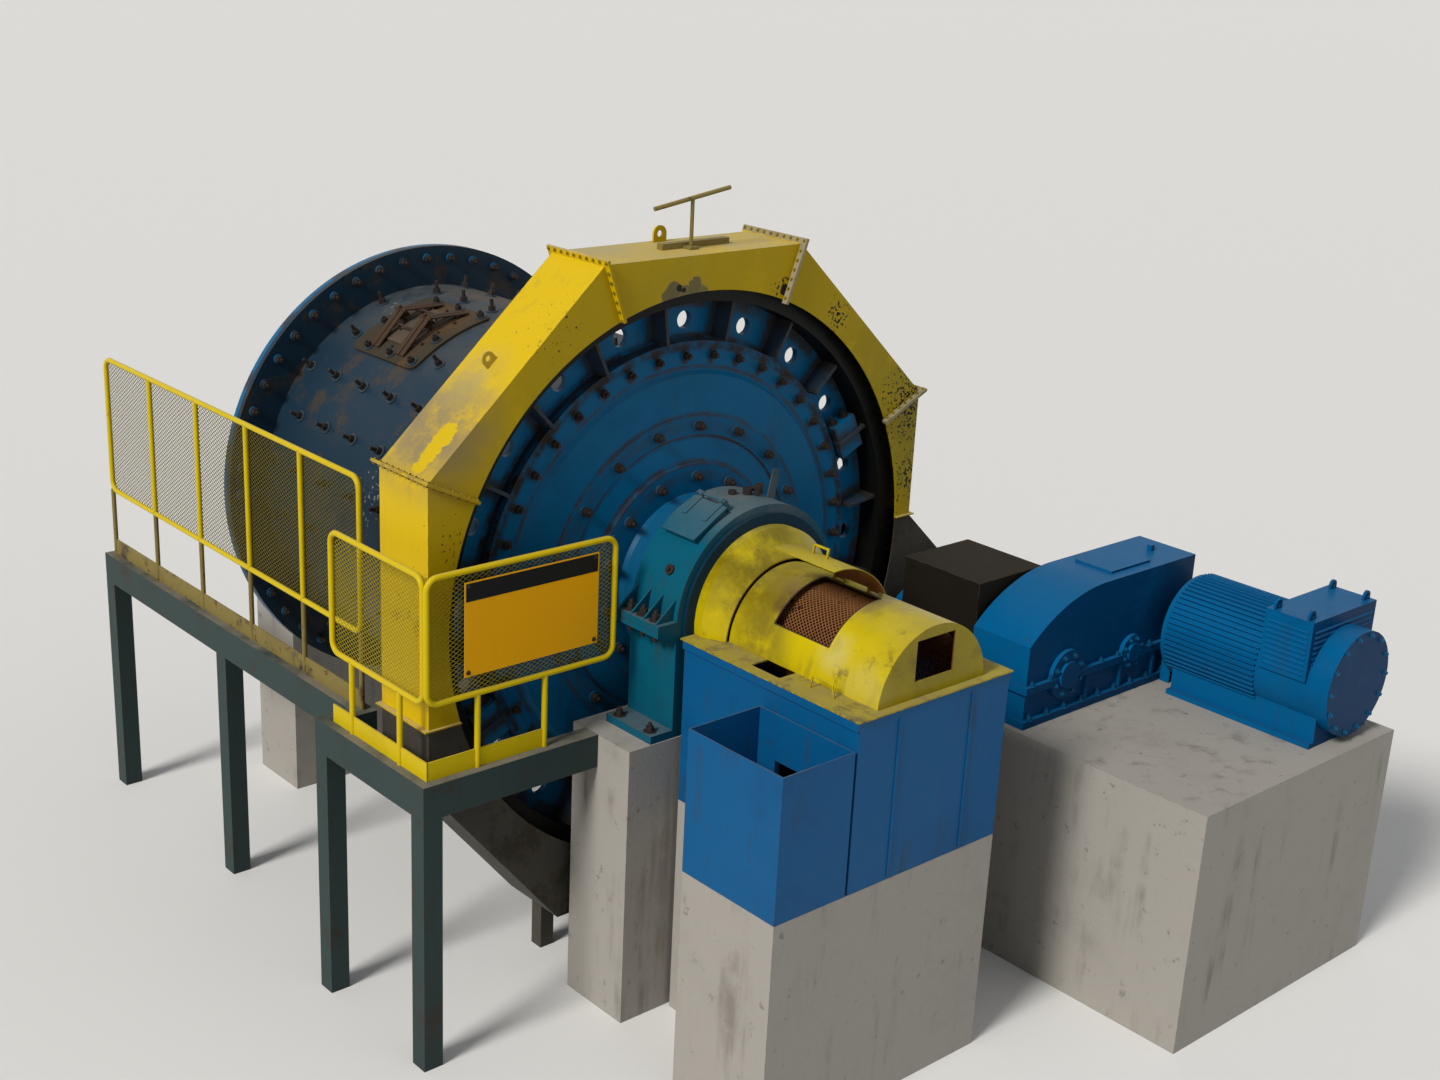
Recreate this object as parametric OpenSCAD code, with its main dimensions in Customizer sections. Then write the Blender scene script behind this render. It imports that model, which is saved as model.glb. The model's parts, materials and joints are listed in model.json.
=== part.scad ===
// Overflow ball mill with girth gear drive, discharge trommel and guards.
// Millimetres, +Z up, origin on the ground under the discharge bearing.
// The mill axis runs along Y, and the mill discharges towards -Y.

/* [Mill drum] */
// Height of the mill axis above the ground
axis_h = 3000; // [2900:10:3300]
// Outer radius of the drum shell
shell_r = 1560; // [1500:5:1580]
// Thickness of the drum shell plate
shell_t = 40; // [25:1:60]
// Length of the drum over its two head flanges
drum_len = 3480; // [3300:20:4400]
// Distance from a bearing centre to the outer face of its head flange
head_reach = 660; // [650:5:700]
// Thickness of each flange in the shell and head joint
flange_t = 50; // [40:1:60]
// Height of the discharge flange above the shell
flange_h = 190; // [170:5:200]
// Height of the feed flange above the shell
feed_flange_h = 330; // [200:5:340]
// Radius of the bore through a trunnion
trunnion_bore_r = 400; // [360:5:420]
// Radius of a trunnion journal
journal_r = 520; // [480:5:530]
// Radius of the bolted trunnion flange
trunnion_flange_r = 860; // [800:5:900]
// Length of the manhole cover along the drum
manhole_l = 900; // [600:10:1000]
// Angle that the manhole cover spans round the drum
manhole_arc_angle = 30; // [20:1:34]
// Angle of the manhole from the +X side, over the crest
manhole_angle = 114; // [100:1:125]

/* [Girth gear] */
// Module of the gear teeth
gear_m = 25; // [24:0.5:26]
// Number of teeth on the girth gear
gear_teeth = 176; // [172:1:178]
// Number of teeth on the pinion
pinion_teeth = 22; // [20:1:24]
// Width of the girth gear face
gear_face = 400; // [300:10:420]
// Distance from the discharge bearing to the middle of the gear face
gear_y = 750; // [740:5:765]
// Radial thickness of the gear rim below its teeth
rim_t = 109; // [90:1:120]
// Thickness of the web and of its flange
web_t = 50; // [40:1:60]
// Diameter of each lightening hole in the web
web_hole_d = 130; // [100:5:150]
// Number of lightening holes and of ribs
web_holes = 20; // [12:1:24]
// Length of the split lugs of the web, along the radius
web_lug_l = 230; // [180:10:260]
// Width of a split lug
web_lug_w = 130; // [100:5:150]
// Angle of the first lightening hole
web_start_angle = 16; // [0:1:18]
// Play between meshing teeth
backlash = 3; // [2:0.5:5]
// Angle of the pinion below the horizontal
pinion_angle = 18; // [17:0.5:19]
// Extra width of the pinion over the girth gear
pinion_extra = 20; // [10:5:30]
// Radius of the pinion shaft
pinion_shaft_r = 110; // [90:5:120]

/* [Trunnion bearings] */
// Outer radius of a bearing housing
housing_r = 760; // [740:5:780]
// Length of a bearing housing along the mill axis
housing_w = 500; // [460:10:520]
// Wall of the bearing cap
cap_wall = 30; // [20:1:40]
// Half width of the split flange
split_half = 925; // [880:5:960]
// Thickness of the split flange
split_t = 45; // [35:1:55]
// Depth of a bearing base below the mill axis
base_depth = 830; // [820:5:880]
// Running clearance between a journal and its bearing, radial
journal_gap = 0.3; // [0.2:0.05:0.5]
// Side of the square inspection lid
lid_side = 350; // [300:5:370]
// Angle of the inspection lid from the crest, towards -X
lid_tilt = 32; // [28:1:38]
// Width of the gap round moving edges
move_gap = 6; // [5:0.5:10]

/* [Gear guard] */
// Distance from the discharge bearing to the front plate of the guard
guard_y = 455; // [445:5:460]
// Width of the guard along the mill axis
guard_w = 590; // [580:5:620]
// Guard plate thickness
guard_t = 8; // [6:1:12]
// How far the guard side plates reach in below the tooth tips
guard_lap = 68; // [40:1:100]
// Height of the guard top above the mill axis
guard_top = 2420; // [2380:10:2500]
// Half width of the guard top plate
guard_top_half = 910; // [880:10:940]
// Clearance from the tooth tips to the side of the guard
guard_clear = 95; // [75:5:140]
// Height of the shoulder corners above the mill axis
guard_shoulder = 1120; // [1080:10:1180]
// Depth of the left leg below the mill axis
left_leg_drop = 630; // [600:10:700]
// Height of the right leg's foot above the mill axis
right_leg_rise = 80; // [40:10:120]
// Depth of the lower guard pan below the mill axis
pan_drop = 2440; // [2400:10:2500]
// How far a joint flange stands proud of the guard
joint_proud = 40; // [25:1:60]
// Height of the guard's joint flanges above its side faces
joint_side = 50; // [30:1:60]
// Tilt of the crossbar of the T-handle on the guard
tee_tilt = 9; // [0:1:12]
// Thickness of a joint flange
joint_t = 10; // [8:1:16]

/* [Discharge end] */
// Outer radius of the trommel screen
trommel_r = 365; // [340:5:375]
// Thickness of the trommel screen
trommel_t = 12; // [8:1:16]
// Distance from the bearing centre to the open end of the trommel
trommel_end = 1850; // [1700:10:1860]
// Outer radius of the trommel hood
hood_r = 512; // [500:2:520]
// Depth of the hood's centre below the mill axis
hood_drop = 100; // [90:2:104]
// Hood, deck and tank plate thickness
plate_t = 10; // [6:1:14]
// Distance from the bearing centre to the end plate of the hood
hood_end = 1947; // [1920:5:1980]
// Radius of the neck band between bearing and hood
neck_r = 620; // [600:5:640]
// Gap between the neck's mouth and the hood, with the neck's plate
neck_slit = 30; // [20:1:40]
// Distance from the bearing centre to the front of the neck band
neck_end = 520; // [500:5:540]
// Near edge of the hood window, from the bearing centre
window_y0 = 880; // [850:10:920]
// Length of the hood window
window_l = 524; // [450:2:560]
// Angle of the window's hinge edge from the +X side
window_a0 = 86; // [80:1:90]
// Angle of the window's free edge from the +X side
window_a1 = 148; // [140:1:152]
// Angle that the hatch stands open at rest
hatch_open = 55; // [30:1:90]
// Half width of the opening in the hood's end plate
end_open_half = 180; // [140:5:200]
// Height of the opening's lower edge above the mill axis
end_open_low = 50; // [30:5:70]
// Height of the opening's upper edge above the mill axis
end_open_top = 335; // [280:5:345]
// Half width of the deck
deck_half = 743; // [735:1:780]
// Depth of the deck's top below the mill axis
deck_drop = 66; // [60:1:80]
// Distance from the bearing centre to the front edge of the deck
deck_end = 2013; // [2000:1:2040]
// Depth of the discharge box's floor below the mill axis
box_drop = 1300; // [1200:10:1400]
// Distance that the side sump stands out from the deck
sump_w = 627; // [560:1:660]
// Length of the side sump along the mill axis
sump_l = 890; // [700:5:900]
// Depth of the side sump's rim below the mill axis
sump_rim_drop = 270; // [240:5:320]

/* [Drive] */
// Depth of the drive pier's top below the mill axis
drive_top_drop = 1085; // [1080:5:1100]
// Width of a pinion bearing along the shaft
pinion_bearing_w = 200; // [160:5:210]
// Outer radius of a pinion bearing
pinion_bearing_r = 230; // [210:5:240]
// Clearance between the pinion shaft and its bearings, radial
shaft_gap = 0.05; // [0.02:0.01:0.1]
// Depth of the pinion cover's top below the mill axis
cover_top_drop = 124; // [110:2:140]
// Radius of the curved shoulder of the gearbox
gearbox_r = 1282; // [1200:2:1340]
// Width of the gearbox along the shaft
gearbox_w = 560; // [500:10:600]
// Depth of the gearbox's top below the mill axis
gearbox_top_drop = 83; // [70:1:100]
// Width of the bolted lips round the gearbox
gearbox_lip = 40; // [30:1:50]
// Distance from the bearing centre to the rear face of the gearbox
gearbox_y = 690; // [680:5:720]
// Distance from the pinion's axis to the near end of the gearbox
gearbox_near = 458; // [440:2:470]
// Distance from the pinion's axis to the end of the shoulder
gearbox_shoulder = 423; // [400:1:440]
// Distance from the pinion's axis to the far end of the gearbox
gearbox_far = 1576; // [1500:2:1600]
// Distance from the bearing centre to the rear end of the motor
motor_y = 1400; // [1380:10:1500]
// Length of the motor
motor_l = 1500; // [1400:10:1600]
// Radius of the motor's round body
motor_r = 420; // [400:5:430]
// Depth of the motor's axis below the mill axis
motor_drop = 610; // [600:5:630]
// Distance of the motor's centre from the mill axis
motor_x = 3780; // [3700:10:3800]
// Width of the cooler on the motor
cooler_w = 880; // [870:10:900]
// Length of the cooler along the motor
cooler_l = 410; // [380:10:440]
// Height of the cooler
cooler_h = 477; // [440:1:500]
// Distance from the motor's rear end to the cooler
cooler_back = 900; // [800:10:950]
// Depth of the cooler's top below the mill axis
cooler_top_drop = 83; // [60:1:100]
// Radius of the coupling guard in front of the motor
coupling_guard_r = 210; // [180:5:240]

/* [Guards beside the mill] */
// Depth of the walkway level below the mill axis
walk_drop = 825; // [820:1:829]
// Distance of the side guard from the mill axis
side_x = 2260; // [2200:5:2280]
// Distance of the corner guard's side from the mill axis
corner_x = 2525; // [2500:5:2600]
// Distance from the bearing centre to the corner guard's front
corner_y = 165; // [150:5:200]
// Length of the corner guard's side panel
corner_l = 1246; // [1180:2:1300]
// Gap between the corner guard's inner post and the bearing base
corner_gap = 10; // [6:1:100]
// Far end of the side guard, from the bearing centre
side_end_y = 5445; // [5000:5:5500]
// Number of bays in the side guard
side_bays = 5; // [4:1:6]
// Outer radius of the guard tubes
tube_r = 21; // [17:1:25]
// Height of the corner guard's top above the mill axis
corner_top = 595; // [560:5:640]
// Depth of the corner guard's lower rail below the mill axis
corner_low_drop = 285; // [260:5:320]
// Height of the side guard's top above the mill axis
side_top = 905; // [850:5:950]
// Depth of the side guard's lower rail below the mill axis
side_low_drop = 240; // [200:5:300]
// Radius of the posts under the side panels
post_r = 20; // [16:1:26]
// Thickness of a mesh sheet
mesh_t = 6; // [4:1:10]
// Width of the strips left between the openings of a mesh sheet
mesh_strip = 40; // [30:1:60]
// Rows of openings in a mesh sheet
mesh_rows = 4; // [2:1:6]
// Height of the toe plates
toe_h = 135; // [100:5:150]
// Width of the notice plate
notice_w = 1100; // [1000:10:1150]
// Height of the notice plate
notice_h = 665; // [600:5:700]
// Depth of the beam below the guards
beam_h = 250; // [200:10:300]
// Width of the beams and columns below the guards
column_w = 150; // [120:5:160]

/* [Piers] */
// Width of a bearing pier across the mill
pier_w = 2300; // [2200:20:2400]
// Length of a bearing pier along the mill axis
pier_l = 640; // [620:10:650]

/* [Hidden] */
cut = 1;
seam = 0.4;
drum_y0 = head_reach;
drum_y1 = head_reach + drum_len;
feed_y = drum_y1 + head_reach;
flange_r = shell_r + flange_h;
feed_flange_r = shell_r + feed_flange_h;
base_lip = 30;
corner_end_x = split_half + base_lip + tube_r + corner_gap;
shell_in_r = shell_r - shell_t;
weld_gap = 0.3;
pressure = 20;
pitch_r = gear_m * gear_teeth / 2;
tip_r = pitch_r + gear_m;
root_r = pitch_r - 1.25 * gear_m;
guard_in_r = tip_r - guard_lap;
guard_half = tip_r + guard_clear;
rim_in_r = root_r - rim_t;
pinion_pitch_r = gear_m * pinion_teeth / 2;
pinion_x = (pitch_r + pinion_pitch_r) * cos(pinion_angle);
pinion_z = -(pitch_r + pinion_pitch_r) * sin(pinion_angle);
gear_y0 = gear_y - gear_face / 2;
web_y0 = drum_y0 + 2 * flange_t;
trunnion_end = housing_w / 2 + 8;
seal_y0 = housing_w / 2 + 25;
hood_y0 = neck_end;
guard_y1 = guard_y + guard_w;
deck_z = -deck_drop;
box_half = deck_half - 23;
box_y0 = seal_y0 + 25;
box_y1 = deck_end - 13;
sump_x1 = deck_half;
sump_x0 = deck_half + sump_w;
sump_y1 = box_y1;
sump_y0 = box_y1 - sump_l;
drive_top = -drive_top_drop;
hinge_r = 10;
hatch_r = hood_r + move_gap;
hatch_t = 6;
motor_z = -motor_drop;
walk_z = -walk_drop;
neck_bend_y = (seal_y0 + neck_end) / 2 - 50;

// Places a shape drawn along +Z so that it runs along the mill axis from y
module on_axis(y) {
    translate([0, y, axis_h]) rotate([-90, 0, 0]) children();
}

// A plain ring round the mill axis
module ring(y0, y1, r_out, r_in) {
    on_axis(y0) difference() {
        cylinder(h = y1 - y0, r = r_out, $fn = 360);
        translate([0, 0, -cut]) cylinder(h = y1 - y0 + 2 * cut, r = r_in, $fn = 360);
    }
}

// Extrudes an outline in x and height above the axis, from y0 along +Y
module slab(y0, len) {
    translate([0, y0 + len, axis_h]) rotate([90, 0, 0]) linear_extrude(height = len) children();
}

// A box from its low corner to its high corner, heights above the mill axis
module block(lo, hi) {
    translate([lo[0], lo[1], lo[2] + axis_h]) cube([hi[0] - lo[0], hi[1] - lo[1], hi[2] - lo[2]]);
}

// A round bar along Y, its centre at x and z above the axis
module bar_y(x, z, y0, y1, r) {
    translate([x, y0, z + axis_h]) rotate([-90, 0, 0]) cylinder(h = y1 - y0, r = r, $fn = 48);
}

// A round bar along X
module bar_x(y, z, x0, x1, r) {
    translate([x0, y, z + axis_h]) rotate([0, 90, 0]) cylinder(h = x1 - x0, r = r, $fn = 48);
}

// A round bar along Z
module bar_z(x, y, z0, z1, r) {
    translate([x, y, z0 + axis_h]) cylinder(h = z1 - z0, r = r, $fn = 48);
}

function inv(a) = tan(a) * 180 / PI - a;
function half_angle(r, teeth, rp) =
    90 / teeth - backlash / 4 / rp * 180 / PI + inv(pressure)
    - inv(acos(min(1, rp * cos(pressure) / r)));
function polar(r, a) = [r * cos(a), r * sin(a)];

// Outline of a gear whose first tooth points along +X
module gear_outline(teeth, radii) {
    rp = gear_m * teeth / 2;
    n = len(radii);
    polygon([for (i = [0 : teeth - 1])
        for (k = [0 : 2 * n - 1])
            let (side = k < n ? -1 : 1, r = k < n ? radii[k] : radii[2 * n - 1 - k])
                polar(r, i * 360 / teeth + side * half_angle(max(r, rp * cos(pressure)), teeth, rp))]);
}

// A revolved profile of radius and distance from a flange face, on the mill axis
module revolved(y, flip, pts) {
    translate([0, y, axis_h]) rotate([flip ? 90 : -90, 0, 0])
        rotate_extrude($fn = 96) polygon(pts);
}

// Mill body

module drum_shell() {
    color("#3a4654") difference() {
        ring(drum_y0 + flange_t, drum_y1 - flange_t, shell_r, shell_in_r);
        manhole_block(manhole_l - 300, manhole_arc_angle - 10, shell_in_r - 50, shell_r + 50);
    }
}

module discharge_shell_flange() {
    color("#3a4654") ring(drum_y0 + flange_t, drum_y0 + 2 * flange_t, flange_r, shell_r + weld_gap);
}

module feed_shell_flange() {
    color("#3a4654") ring(drum_y1 - 2 * flange_t, drum_y1 - flange_t, feed_flange_r, shell_r + weld_gap);
}

// A curved block on the shell at the manhole
module manhole_block(l, span, r_in, r_out) {
    y_mid = drum_y0 + 0.72 * drum_len;
    intersection() {
        ring(y_mid - l / 2, y_mid + l / 2, r_out, r_in);
        slab(y_mid - l / 2 - cut, l + 2 * cut)
            polygon([[0, 0], polar(2 * r_out, manhole_angle - span / 2),
                polar(2 * r_out, manhole_angle + span / 2)]);
    }
}

module manhole_cover() {
    color("#5a5148") manhole_block(manhole_l, manhole_arc_angle, shell_r + weld_gap, shell_r + 22);
}

// Head profile: radius and distance from the flange face, inwards positive
function head_points(rim_r) = [
    [journal_r + 100, flange_t], [rim_r, flange_t], [rim_r, 0], [shell_r - 25, 0],
    [shell_r - 55, -30], [shell_r - 350, -50], [shell_r - 350, -66], [shell_r - 500, -66],
    [shell_r - 500, -54], [trunnion_flange_r, -77], [journal_r + 100, -77]];

// Trunnion profile from the head's seat out past the bearing
function trunnion_points(out) = [
    [trunnion_bore_r, flange_t], [journal_r + 95, flange_t], [journal_r + 95, -77],
    [trunnion_flange_r, -77], [trunnion_flange_r, -117], [journal_r + 120, -117],
    [journal_r + 100, -150], [journal_r, -250], [journal_r, -out], [trunnion_bore_r, -out]];

module discharge_head() {
    color("#1f5c96") revolved(drum_y0, false, head_points(flange_r));
}

module feed_head() {
    color("#1f5c96") revolved(drum_y1, true, head_points(feed_flange_r));
}

module discharge_trunnion() {
    color("#1f5c96") revolved(drum_y0, false, trunnion_points(head_reach + trunnion_end));
}

module feed_trunnion() {
    color("#1f5c96") revolved(drum_y1, true, trunnion_points(head_reach + trunnion_end));
}

// Turn of a lightening hole of the web, which on_axis runs clockwise
function web_turn(i) = -web_start_angle - i * 360 / web_holes;

module girth_gear_web() {
    hole_pitch_r = (flange_r + rim_in_r) / 2 - 15;
    rib_t = 25;
    color("#1f5c96") {
        difference() {
            ring(web_y0, web_y0 + web_t, rim_in_r, shell_r + 10);
            for (i = [0 : web_holes - 1])
                on_axis(web_y0 - cut) rotate([0, 0, web_turn(i)])
                    translate([hole_pitch_r, 0, 0])
                        cylinder(h = web_t + 2 * cut, d = web_hole_d, $fn = 32);
        }
        for (i = [0 : web_holes - 1])
            on_axis(gear_y0 + 40) rotate([0, 0, web_turn(i + 0.5)])
                translate([flange_r + 15, -rib_t / 2, 0])
                    cube([rim_in_r - flange_r - 18, rib_t, web_y0 - gear_y0 - 40 + cut]);
        for (half = [0, 180], side = [-1, 1])
            on_axis(gear_y0 + 60) rotate([0, 0, half + web_turn(0.5)])
                translate([flange_r + 20, side > 0 ? rib_t / 2 - cut : -rib_t / 2 - web_lug_w + cut, 0])
                    cube([web_lug_l, web_lug_w, web_y0 - gear_y0 - 60 + cut]);
    }
}

module girth_gear_rim() {
    color("#15171a") difference() {
        slab(gear_y0, gear_face) rotate(-pinion_angle)
            gear_outline(gear_teeth, [root_r, tip_r]);
        on_axis(gear_y0 - cut) cylinder(h = gear_face + 2 * cut, r = rim_in_r, $fn = 360);
    }
}

module trommel_screen() {
    flange_y1 = trunnion_end;
    color("#6a4027") {
        ring(-trommel_end, -flange_y1, trommel_r, trommel_r - trommel_t);
        ring(-flange_y1 - 25, -flange_y1, journal_r - 15, trommel_r - trommel_t);
        ring(-trommel_end, -trommel_end + 30, trommel_r + 15, trommel_r - trommel_t);
    }
}

// Trunnion bearings

module bearing_base(y) {
    y0 = y - housing_w / 2;
    difference() {
        slab(y0, housing_w) polygon([
            [-split_half, 0], [-split_half, -split_t], [-housing_r, -split_t - 60],
            [-housing_r, -base_depth + 60], [-split_half - base_lip, -base_depth + 60],
            [-split_half - base_lip, -base_depth], [split_half + base_lip, -base_depth],
            [split_half + base_lip, -base_depth + 60], [housing_r, -base_depth + 60],
            [housing_r, -split_t - 60], [split_half, -split_t], [split_half, 0]]);
        on_axis(y0 - cut) cylinder(h = housing_w + 2 * cut, r = journal_r + journal_gap, $fn = 96);
    }
}

// Turns a lid-shaped child from the crest to its place on a bearing cap
module on_lid(y) {
    translate([0, y, axis_h]) rotate([0, -lid_tilt, 0]) children();
}

lid_frame = lid_side - 30;
lid_z = housing_r + 30;
lid_t = 12;

module bearing_cap(y) {
    y0 = y - housing_w / 2;
    end_t = 20;
    gusset = 170;
    difference() {
        union() {
            difference() {
                ring(y0, y0 + housing_w, housing_r, housing_r - cap_wall);
                block([-2 * housing_r, y0 - cut, -2 * housing_r], [2 * housing_r, y0 + housing_w + cut, 0]);
            }
            for (e = [y0, y0 + housing_w - end_t])
                difference() {
                    ring(e, e + end_t, housing_r - cap_wall / 2, journal_r + move_gap);
                    block([-2 * housing_r, e - cut, -2 * housing_r], [2 * housing_r, e + end_t + cut, 0]);
                }
            for (s = [-1, 1])
                difference() {
                    block([s > 0 ? housing_r - cap_wall : -split_half, y0, 0],
                        [s > 0 ? split_half : cap_wall - housing_r, y0 + housing_w, split_t]);
                    on_axis(y0 - cut)
                        cylinder(h = housing_w + 2 * cut, r = housing_r - cap_wall, $fn = 96);
                }
            for (s = [-1, 1], k = [0 : 3])
                slab(y0 + 40 + k * (housing_w - 95) / 3, 15) polygon([
                    [s * (housing_r - 15), split_t - cut], [s * (split_half - 10), split_t - cut],
                    [s * (housing_r - 15) * cos(17), split_t + gusset]]);
            on_lid(y) translate([-lid_frame / 2, -lid_frame / 2, housing_r - 45])
                cube([lid_frame, lid_frame, lid_z - housing_r + 45]);
        }
        on_lid(y) translate([-lid_frame / 2 + 20, -lid_frame / 2 + 20, housing_r - 200])
            cube([lid_frame - 40, lid_frame - 40, 400]);
    }
}

module discharge_bearing_base() {
    color("#1c6f8f") bearing_base(0);
}

module feed_bearing_base() {
    color("#1c6f8f") bearing_base(feed_y);
}

// Two lugs and a pin along Y for a hinge whose pin is at x and z
module hinge_pin(x, z, y0, y1, foot) {
    lug = 12;
    translate([x, y0, z]) rotate([-90, 0, 0]) cylinder(h = y1 - y0, r = hinge_r, $fn = 32);
    for (y = [y0, y1 - lug])
        translate([x - 16, y, z - foot]) cube([32, lug, foot + 12]);
}

// The knuckle tube of a hinge leaf along Y
module knuckle(x, z, y0, y1, reach) {
    difference() {
        union() {
            translate([x, y0, z]) rotate([-90, 0, 0]) cylinder(h = y1 - y0, r = hinge_r + 8, $fn = 32);
            translate([x - reach, y0, z - hinge_r - 8]) cube([reach, y1 - y0, 8]);
        }
        translate([x, y0 - cut, z]) rotate([-90, 0, 0])
            cylinder(h = y1 - y0 + 2 * cut, r = hinge_r + shaft_gap, $fn = 32);
    }
}

lid_hinge_x = lid_side / 2 + 26;
lid_hinge_z = lid_z + 0.3 + lid_t + hinge_r + 8;
lid_hinge_half = lid_side / 2 - 30;

module discharge_bearing_cap() {
    color("#1c6f8f") {
        bearing_cap(0);
        on_lid(0) hinge_pin(lid_hinge_x, lid_hinge_z, -lid_hinge_half, lid_hinge_half, 110);
    }
}

module bearing_lid() {
    color("#1c6f8f") on_lid(0) {
        translate([-lid_side / 2, -lid_side / 2, lid_z + 0.3]) cube([lid_side, lid_side, lid_t]);
        for (y = [-lid_hinge_half + 18, lid_hinge_half - 18 - 40])
            knuckle(lid_hinge_x, lid_hinge_z, y, y + 40, 200);
    }
}

module feed_bearing_cap() {
    color("#1c6f8f") {
        bearing_cap(feed_y);
        on_lid(feed_y) translate([-lid_side / 2, -lid_side / 2, lid_z])
            cube([lid_side, lid_side, lid_t]);
    }
}

module discharge_seal_ring() {
    color("#20303c") ring(-seal_y0, -housing_w / 2, housing_r - 60, journal_r + move_gap);
}

// Gear guard

// Points of the guard's outline in x and height above the axis
pan_corner = 1120;
bulge_clear = 120;
bulge_x = pinion_x + pinion_pitch_r + gear_m + bulge_clear;
bulge_low = pinion_z - pinion_pitch_r - gear_m - bulge_clear;
bulge_run = 2 * (pinion_pitch_r + gear_m);
bulge_rise = pinion_pitch_r + gear_m + bulge_clear;
guard_points = [
    [-guard_half, -left_leg_drop], [-guard_half, guard_shoulder], [-guard_top_half, guard_top],
    [guard_top_half, guard_top], [guard_half, guard_shoulder], [guard_half, right_leg_rise],
    [bulge_x, pinion_z + bulge_rise], [bulge_x, bulge_low], [bulge_x - bulge_run, bulge_low - bulge_clear],
    [guard_half - pan_corner, -pan_drop], [pan_corner - guard_half, -pan_drop],
    [-guard_half, -pan_drop + 1.2 * pan_corner]];

function unit(v) = v / norm(v);
function edge_normal(a, b) = let (d = unit(b - a)) [d[1], -d[0]];
// Moves each corner of a clockwise outline inwards by t
function inset(p, t) = [for (i = [0 : len(p) - 1])
    let (n1 = edge_normal(p[(i + len(p) - 1) % len(p)], p[i]), n2 = edge_normal(p[i], p[(i + 1) % len(p)]))
        p[i] + t * (n1 + n2) / (1 + n1 * n2)];

// A strip along the ray through a corner, on one side of it, for a joint flange
module ray_strip(corner, side) {
    r = norm(corner);
    rotate(atan2(corner[1], corner[0])) translate([guard_in_r - 100, side > 0 ? seam : -joint_t])
        square([r - guard_in_r + 100 + joint_proud, joint_t - seam]);
}

// The part of the guard within a region: two side plates, the plate round the outside and joint
// flanges that stand proud along the rays through the corners given with their sides
module guard_section(region, flanges) {
    difference() {
        union() {
            slab(guard_y, guard_w) intersection() {
                polygon(guard_points);
                polygon(region);
            }
            for (f = flanges)
                slab(guard_y - joint_side, guard_w + 2 * joint_side) ray_strip(f[0], f[1]);
            children();
        }
        slab(guard_y + guard_t, guard_w - 2 * guard_t) intersection() {
            polygon(inset(guard_points, guard_t));
            polygon(region_grown(region));
        }
        on_axis(guard_y - 100) cylinder(h = guard_w + 200, r = guard_in_r, $fn = 360);
    }
}

// The region itself, grown about its middle so that cuts run clear through its ends
function middle(p) = [for (k = [0, 1]) let (s = [for (q = p) q[k]]) (max(s) + min(s)) / 2];
function region_grown(p) = let (m = middle(p)) [for (q = p) m + (q - m) * 1.5];

// An eye plate of thickness 16 whose foot is at a point of the outline, turned to an angle
module eye_plate(y, p, a, r, hole) {
    slab(y, 16) translate(p) rotate(a) difference() {
        union() {
            translate([-r, 0]) square([2 * r, r]);
            translate([0, r]) circle(r = r, $fn = 48);
        }
        translate([0, r]) circle(r = hole, $fn = 32);
    }
}

guard_a = guard_points[1];
guard_b = guard_points[2];
guard_c = guard_points[3];
guard_d = guard_points[4];

module guard_crown() {
    color("#d8c310") {
        guard_section([[0, 0], 1.6 * guard_b, 1.6 * guard_c], [[guard_b, -1], [guard_c, 1]]);
        eye_plate(guard_y1 - 60, [0, guard_top], 0, 60, 25);
    }
}

module guard_left_shoulder() {
    run = guard_b - guard_a;
    color("#d8c310") {
        guard_section([[0, 0], 1.6 * guard_a, 1.6 * guard_b], [[guard_a, -1], [guard_b, 1]]);
        eye_plate(guard_y + guard_w / 2, (guard_a + guard_b) / 2, atan2(run[1], run[0]), 50, 22);
    }
}

module guard_right_shoulder() {
    color("#d8c310")
        guard_section([[0, 0], 1.6 * guard_c, 1.6 * guard_d], [[guard_c, -1], [guard_d, 1]]);
}

module guard_left_leg() {
    color("#d8c310")
        guard_section([[-guard_half / 2, -left_leg_drop], [-1.4 * guard_half, -left_leg_drop], 1.4 * guard_a, [0, 0]],
            [[guard_a, 1]]) foot_flange(-1, -left_leg_drop);
}

module guard_right_leg() {
    color("#d8c310")
        guard_section([[guard_half / 2, right_leg_rise], [0, 0], 1.4 * guard_d, [1.4 * guard_half, right_leg_rise]],
            [[guard_d, -1]]) foot_flange(1, right_leg_rise);
}

// The flange at the foot of a guard leg
module foot_flange(side, z) {
    inner = guard_in_r - 200;
    outer = guard_half + joint_proud;
    block([side > 0 ? inner : -outer, guard_y - joint_proud / 2, z],
        [side > 0 ? outer : -inner, guard_y1 + joint_proud / 2, z + joint_t]);
}

module guard_pan() {
    out = 1.4 * guard_half;
    low = [[0, right_leg_rise], [out, right_leg_rise], [out, -axis_h], [-out, -axis_h],
        [-out, -left_leg_drop], [0, -left_leg_drop]];
    post = 120;
    color("#6d7073") {
        difference() {
            slab(guard_y, guard_w) intersection() {
                polygon(guard_points);
                polygon(low);
            }
            slab(guard_y + guard_t, guard_w - 2 * guard_t) polygon(inset(guard_points, guard_t));
            on_axis(guard_y - 100) cylinder(h = guard_w + 200, r = guard_in_r, $fn = 360);
            bar_y(pinion_x, pinion_z, guard_y - cut, guard_y1 + cut, pinion_shaft_r + 30);
        }
        for (x = [-1000, 1000 - post], y = [guard_y, guard_y1 - post])
            block([x, y, -axis_h], [x + post, y + post, -pan_drop]);
    }
}

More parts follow.
